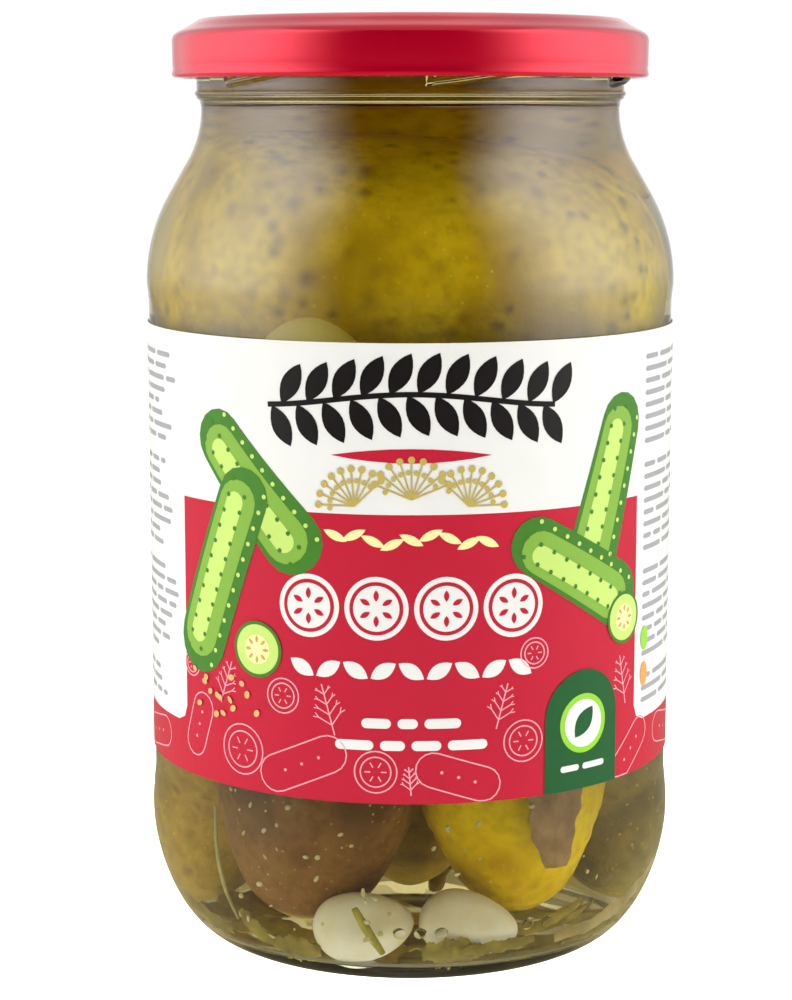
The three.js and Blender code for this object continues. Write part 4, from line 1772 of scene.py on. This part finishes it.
    def flat(self, ink: Ink, wide: bool) -> bpy.types.Object:
        """Make the flat mesh of an ink's shapes, and cut the wide ones so that they bend smoothly.

        Args:
            ink: the ink.
            wide: whether its wide shapes are made or its narrow ones.

        Returns:
            The mesh, with its sizes in millimetres.
        """
        deselect_all()
        drawn = self.shapes[(ink, wide)]
        for _layer, outline in drawn:
            bpy.ops.mesh.primitive_circle_add(vertices=len(outline), radius=1, fill_type="NGON")
            if bpy.context.mode == "OBJECT":
                piece = bpy.context.object
                edit(piece)
        bpy.ops.object.mode_set(mode="OBJECT")
        points = [(x, -self.lift * (layer + 1), z) for layer, outline in drawn for x, z in outline]
        move_points(piece, np.array(points))
        if wide:
            ends = [point[0] for point in points]
            edit(piece)
            for i in range(math.ceil(min(ends) / self.strip), math.ceil(max(ends) / self.strip)):
                bpy.ops.mesh.select_all(action="SELECT")
                bpy.ops.mesh.bisect(plane_co=(i * self.strip, 0, 0), plane_no=(1, 0, 0))
            bpy.ops.object.mode_set(mode="OBJECT")
        return piece


# The studio


@dataclass
class Studio:
    """The light tent, pale floor and camera of the photograph.

    The tent is a round wall of white cloth, lit from outside at both sides of the camera, with a dark
    opening where the camera stands. Its light is given by bearing round the jar, in degrees from the camera.
    """

    distance: float = 443.6
    side: float = -2.55
    height: float = 151.2
    pitch: float = 9.3
    lens: float = 87.73
    sensor: float = 36.0
    tent_radius: float = 1.0
    tent_height: float = 1.7
    bearings: tuple[float, ...] = (0, 28, 34, 39, 44, 49, 54, 59, 65, 73, 82, 91, 101, 112, 124, 139, 152, 163,
                                   167, 180)
    glow: tuple[float, ...] = (0, 0, 0.14, 0.36, 0.68, 1.06, 1.5, 1.9, 2.2, 2.5, 2.5, 2.33, 1.94, 1.48, 1.06,
                               0.92, 0.57, 0.8, 1.05, 1.05)
    foot_height: float = 0.13
    foot_glow: float = 0.5
    ceiling: float = 0.55
    floor_glow: float = 0.55
    floor_bearings: tuple[float, ...] = (0, 38, 50, 60, 80, 100, 140, 180)
    floor_seen: tuple[float, ...] = (0.02, 0.03, 0.35, 0.55, 0.6, 0.65, 0.5, 0.4)

    def camera(self) -> None:
        """Put the camera where the photograph was taken."""
        data = bpy.data.cameras.new("camera")
        data.sensor_fit = "VERTICAL"
        data.sensor_height = self.sensor
        data.sensor_width = self.sensor
        data.lens = self.lens
        data.clip_start = 0.01
        holder = bpy.data.objects.new("camera", data)
        holder.location = Vector((self.side, -self.distance, self.height)) * MM
        holder.rotation_euler = (math.radians(90 - self.pitch), 0, 0)
        bpy.context.scene.collection.objects.link(holder)
        bpy.context.scene.camera = holder

    def floor(self) -> None:
        """Lay the pale translucent floor, which glows a little as a light table does.

        In the glass it shows duller than it is, and nearly black in front of the dark opening. Close to
        the jar it has the colour of the light that came through the brine.
        """
        deselect_all()
        bpy.ops.mesh.primitive_circle_add(vertices=180, radius=0.02, fill_type="TRIFAN", location=(0, 0, 0))
        piece = bpy.context.object
        piece.name = "floor"
        edit(piece)
        bpy.ops.mesh.select_mode(type="VERT")
        bpy.ops.mesh.select_non_manifold()
        for growth in (2.0, 2.5, 3.0, 1.4, 1.4, 1.35, 1.35, 1.3):
            bpy.ops.mesh.extrude_region_move(TRANSFORM_OT_translate={"value": (0, 0, 0)})
            bpy.ops.transform.resize(value=(growth, growth, 1), center_override=(0, 0, 0))
        bpy.ops.object.mode_set(mode="OBJECT")
        self.mark(piece, "seen", True)
        material, tree = new_material("white_acrylic_light_table")
        tone = mixed(tree, noise(tree, 400, 2.0), linear("#F4F4F2"), linear("#EFEFED"))
        body = add_node(tree, "ShaderNodeBsdfPrincipled", inputs={
            "Base Color": tone, "Roughness": 0.8, "Emission Color": linear("#FFFFFF"),
            "Emission Strength": self.floor_glow})
        seen = add_node(tree, "ShaderNodeAttribute", {"attribute_name": "seen"}).outputs["Fac"]
        # Painted light: near the jar the floor, as seen in the glass, takes the yellow of the light that came
        # through the brine.
        stained = add_node(tree, "ShaderNodeAttribute", {"attribute_name": "through_brine"}).outputs["Fac"]
        duller = add_node(tree, "ShaderNodeEmission", inputs={
            "Color": mixed(tree, stained, linear("#FFFFFF"), linear("#E6DAAC")), "Strength": seen})
        path = add_node(tree, "ShaderNodeLightPath")
        either = add_node(tree, "ShaderNodeMath", {"operation": "MAXIMUM", "use_clamp": True}, {
            0: path.outputs["Is Camera Ray"], 1: path.outputs["Diffuse Depth"]})
        mix = add_node(tree, "ShaderNodeMixShader", inputs={
            0: either.outputs["Value"], 1: duller.outputs["Emission"], 2: body.outputs["BSDF"]})
        add_node(tree, "ShaderNodeOutputMaterial", inputs={"Surface": mix.outputs["Shader"]})
        piece.data.materials.append(material)

    def wall_light(self, bearing: np.ndarray, height: np.ndarray) -> np.ndarray:
        """Return how bright the tent's wall is; its foot is duller, except behind the jar.

        Args:
            bearing: degrees from the camera.
            height: metres above the floor.

        Returns:
            The light's strength at each place.
        """
        beside = np.clip((163 - bearing) / 12, 0, 1)
        dulling = (1 - self.foot_glow) * beside * np.clip(1 - height / self.foot_height, 0, 1)
        return np.interp(bearing, self.bearings, self.glow) * (1 - dulling)

    def mark(self, piece: bpy.types.Object, name: str, is_floor: bool) -> None:
        """Give each point of the floor or wall the light that it shows.

        Args:
            piece: the floor or the wall.
            name: the attribute's name.
            is_floor: whether it is the floor, which nears the wall's light with its distance.
        """
        points = coordinates(piece)
        bearing = np.degrees(np.arctan2(np.abs(points[:, 0]), -points[:, 1]))
        value = self.wall_light(bearing, points[:, 2])
        if is_floor:
            near = np.interp(bearing, self.floor_bearings, self.floor_seen)
            radius = np.hypot(points[:, 0], points[:, 1])
            # Painted light: close to the jar the floor seen in the glass is brighter and takes the yellow of the
            # light that came through the brine.
            near = np.maximum(near, np.interp(radius, (0.04, 0.1, 0.3), (0.25, 0.12, 0.0)))
            stained = piece.data.attributes.new("through_brine", "FLOAT", "POINT")
            stained.data.foreach_set("value", np.interp(radius, (0.1, 0.3), (1, 0)).astype(np.float32))
            reach = np.clip((radius - 0.3) / 0.7, 0, 1)
            value = near + (value - near) * reach
        attribute = piece.data.attributes.new(name, "FLOAT", "POINT")
        attribute.data.foreach_set("value", value.astype(np.float32))

    def tent(self) -> None:
        """Raise the round wall of lit cloth."""
        deselect_all()
        bpy.ops.mesh.primitive_circle_add(
            vertices=180, radius=self.tent_radius, fill_type="NOTHING", location=(0, 0, 0))
        piece = bpy.context.object
        piece.name = "tent_wall"
        edit(piece)
        bpy.ops.mesh.select_all(action="SELECT")
        for step in (0.025, 0.025, 0.04, 0.04, 0.27, self.tent_height - 0.4):
            bpy.ops.mesh.extrude_region_move(TRANSFORM_OT_translate={"value": (0, 0, step)})
        bpy.ops.object.mode_set(mode="OBJECT")
        settle(piece)
        self.mark(piece, "glow", False)
        material, tree = new_material("lit_tent_cloth")
        strength = add_node(tree, "ShaderNodeAttribute", {"attribute_name": "glow"}).outputs["Fac"]
        path = add_node(tree, "ShaderNodeLightPath")
        plain = add_node(tree, "ShaderNodeMix", {"data_type": "FLOAT"}, {
            "Factor": path.outputs["Is Camera Ray"], "A": strength, "B": 1.05})
        cloth = add_node(tree, "ShaderNodeEmission", inputs={
            "Color": linear("#FFFFFF"), "Strength": plain.outputs["Result"]})
        add_node(tree, "ShaderNodeOutputMaterial", inputs={"Surface": cloth.outputs["Emission"]})
        piece.data.materials.append(material)

    def world(self) -> None:
        """Close the tent above with an even white."""
        world = bpy.data.worlds.new("white_ceiling")
        world.use_nodes = True
        background = world.node_tree.nodes["Background"]
        background.inputs["Color"].default_value = linear("#FFFFFF")
        background.inputs["Strength"].default_value = self.ceiling
        bpy.context.scene.world = world

    def build(self) -> None:
        """Set up the whole studio."""
        self.camera()
        self.floor()
        self.tent()
        self.world()
        bpy.context.scene.view_settings.view_transform = "Standard"


def main() -> None:
    """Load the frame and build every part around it."""
    logging.basicConfig(level=logging.INFO, format="%(relativeCreated)d %(name)s: %(message)s")
    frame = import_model()
    LOG.info("the frame has the nodes %s", ", ".join(sorted(frame["nodes"])))
    deselect_all()
    Studio().build()
    GlassJar().build()
    BrineFill().build()
    TwistLid().build()
    CucumberHeap().build()
    garlic = GARLIC.make()
    for clove in (GarlicClove(1, (-7.6, -31.6, 10.1), (8.2, 5.2, 5.6), -8, 6),
                  GarlicClove(2, (9.4, -31, 10.3), (8.2, 5, 5.2), 10, -10)):
        clove.build(garlic)
    Herbs().build()
    PrintedLabel().build()


if __name__ == "__main__":
    main()
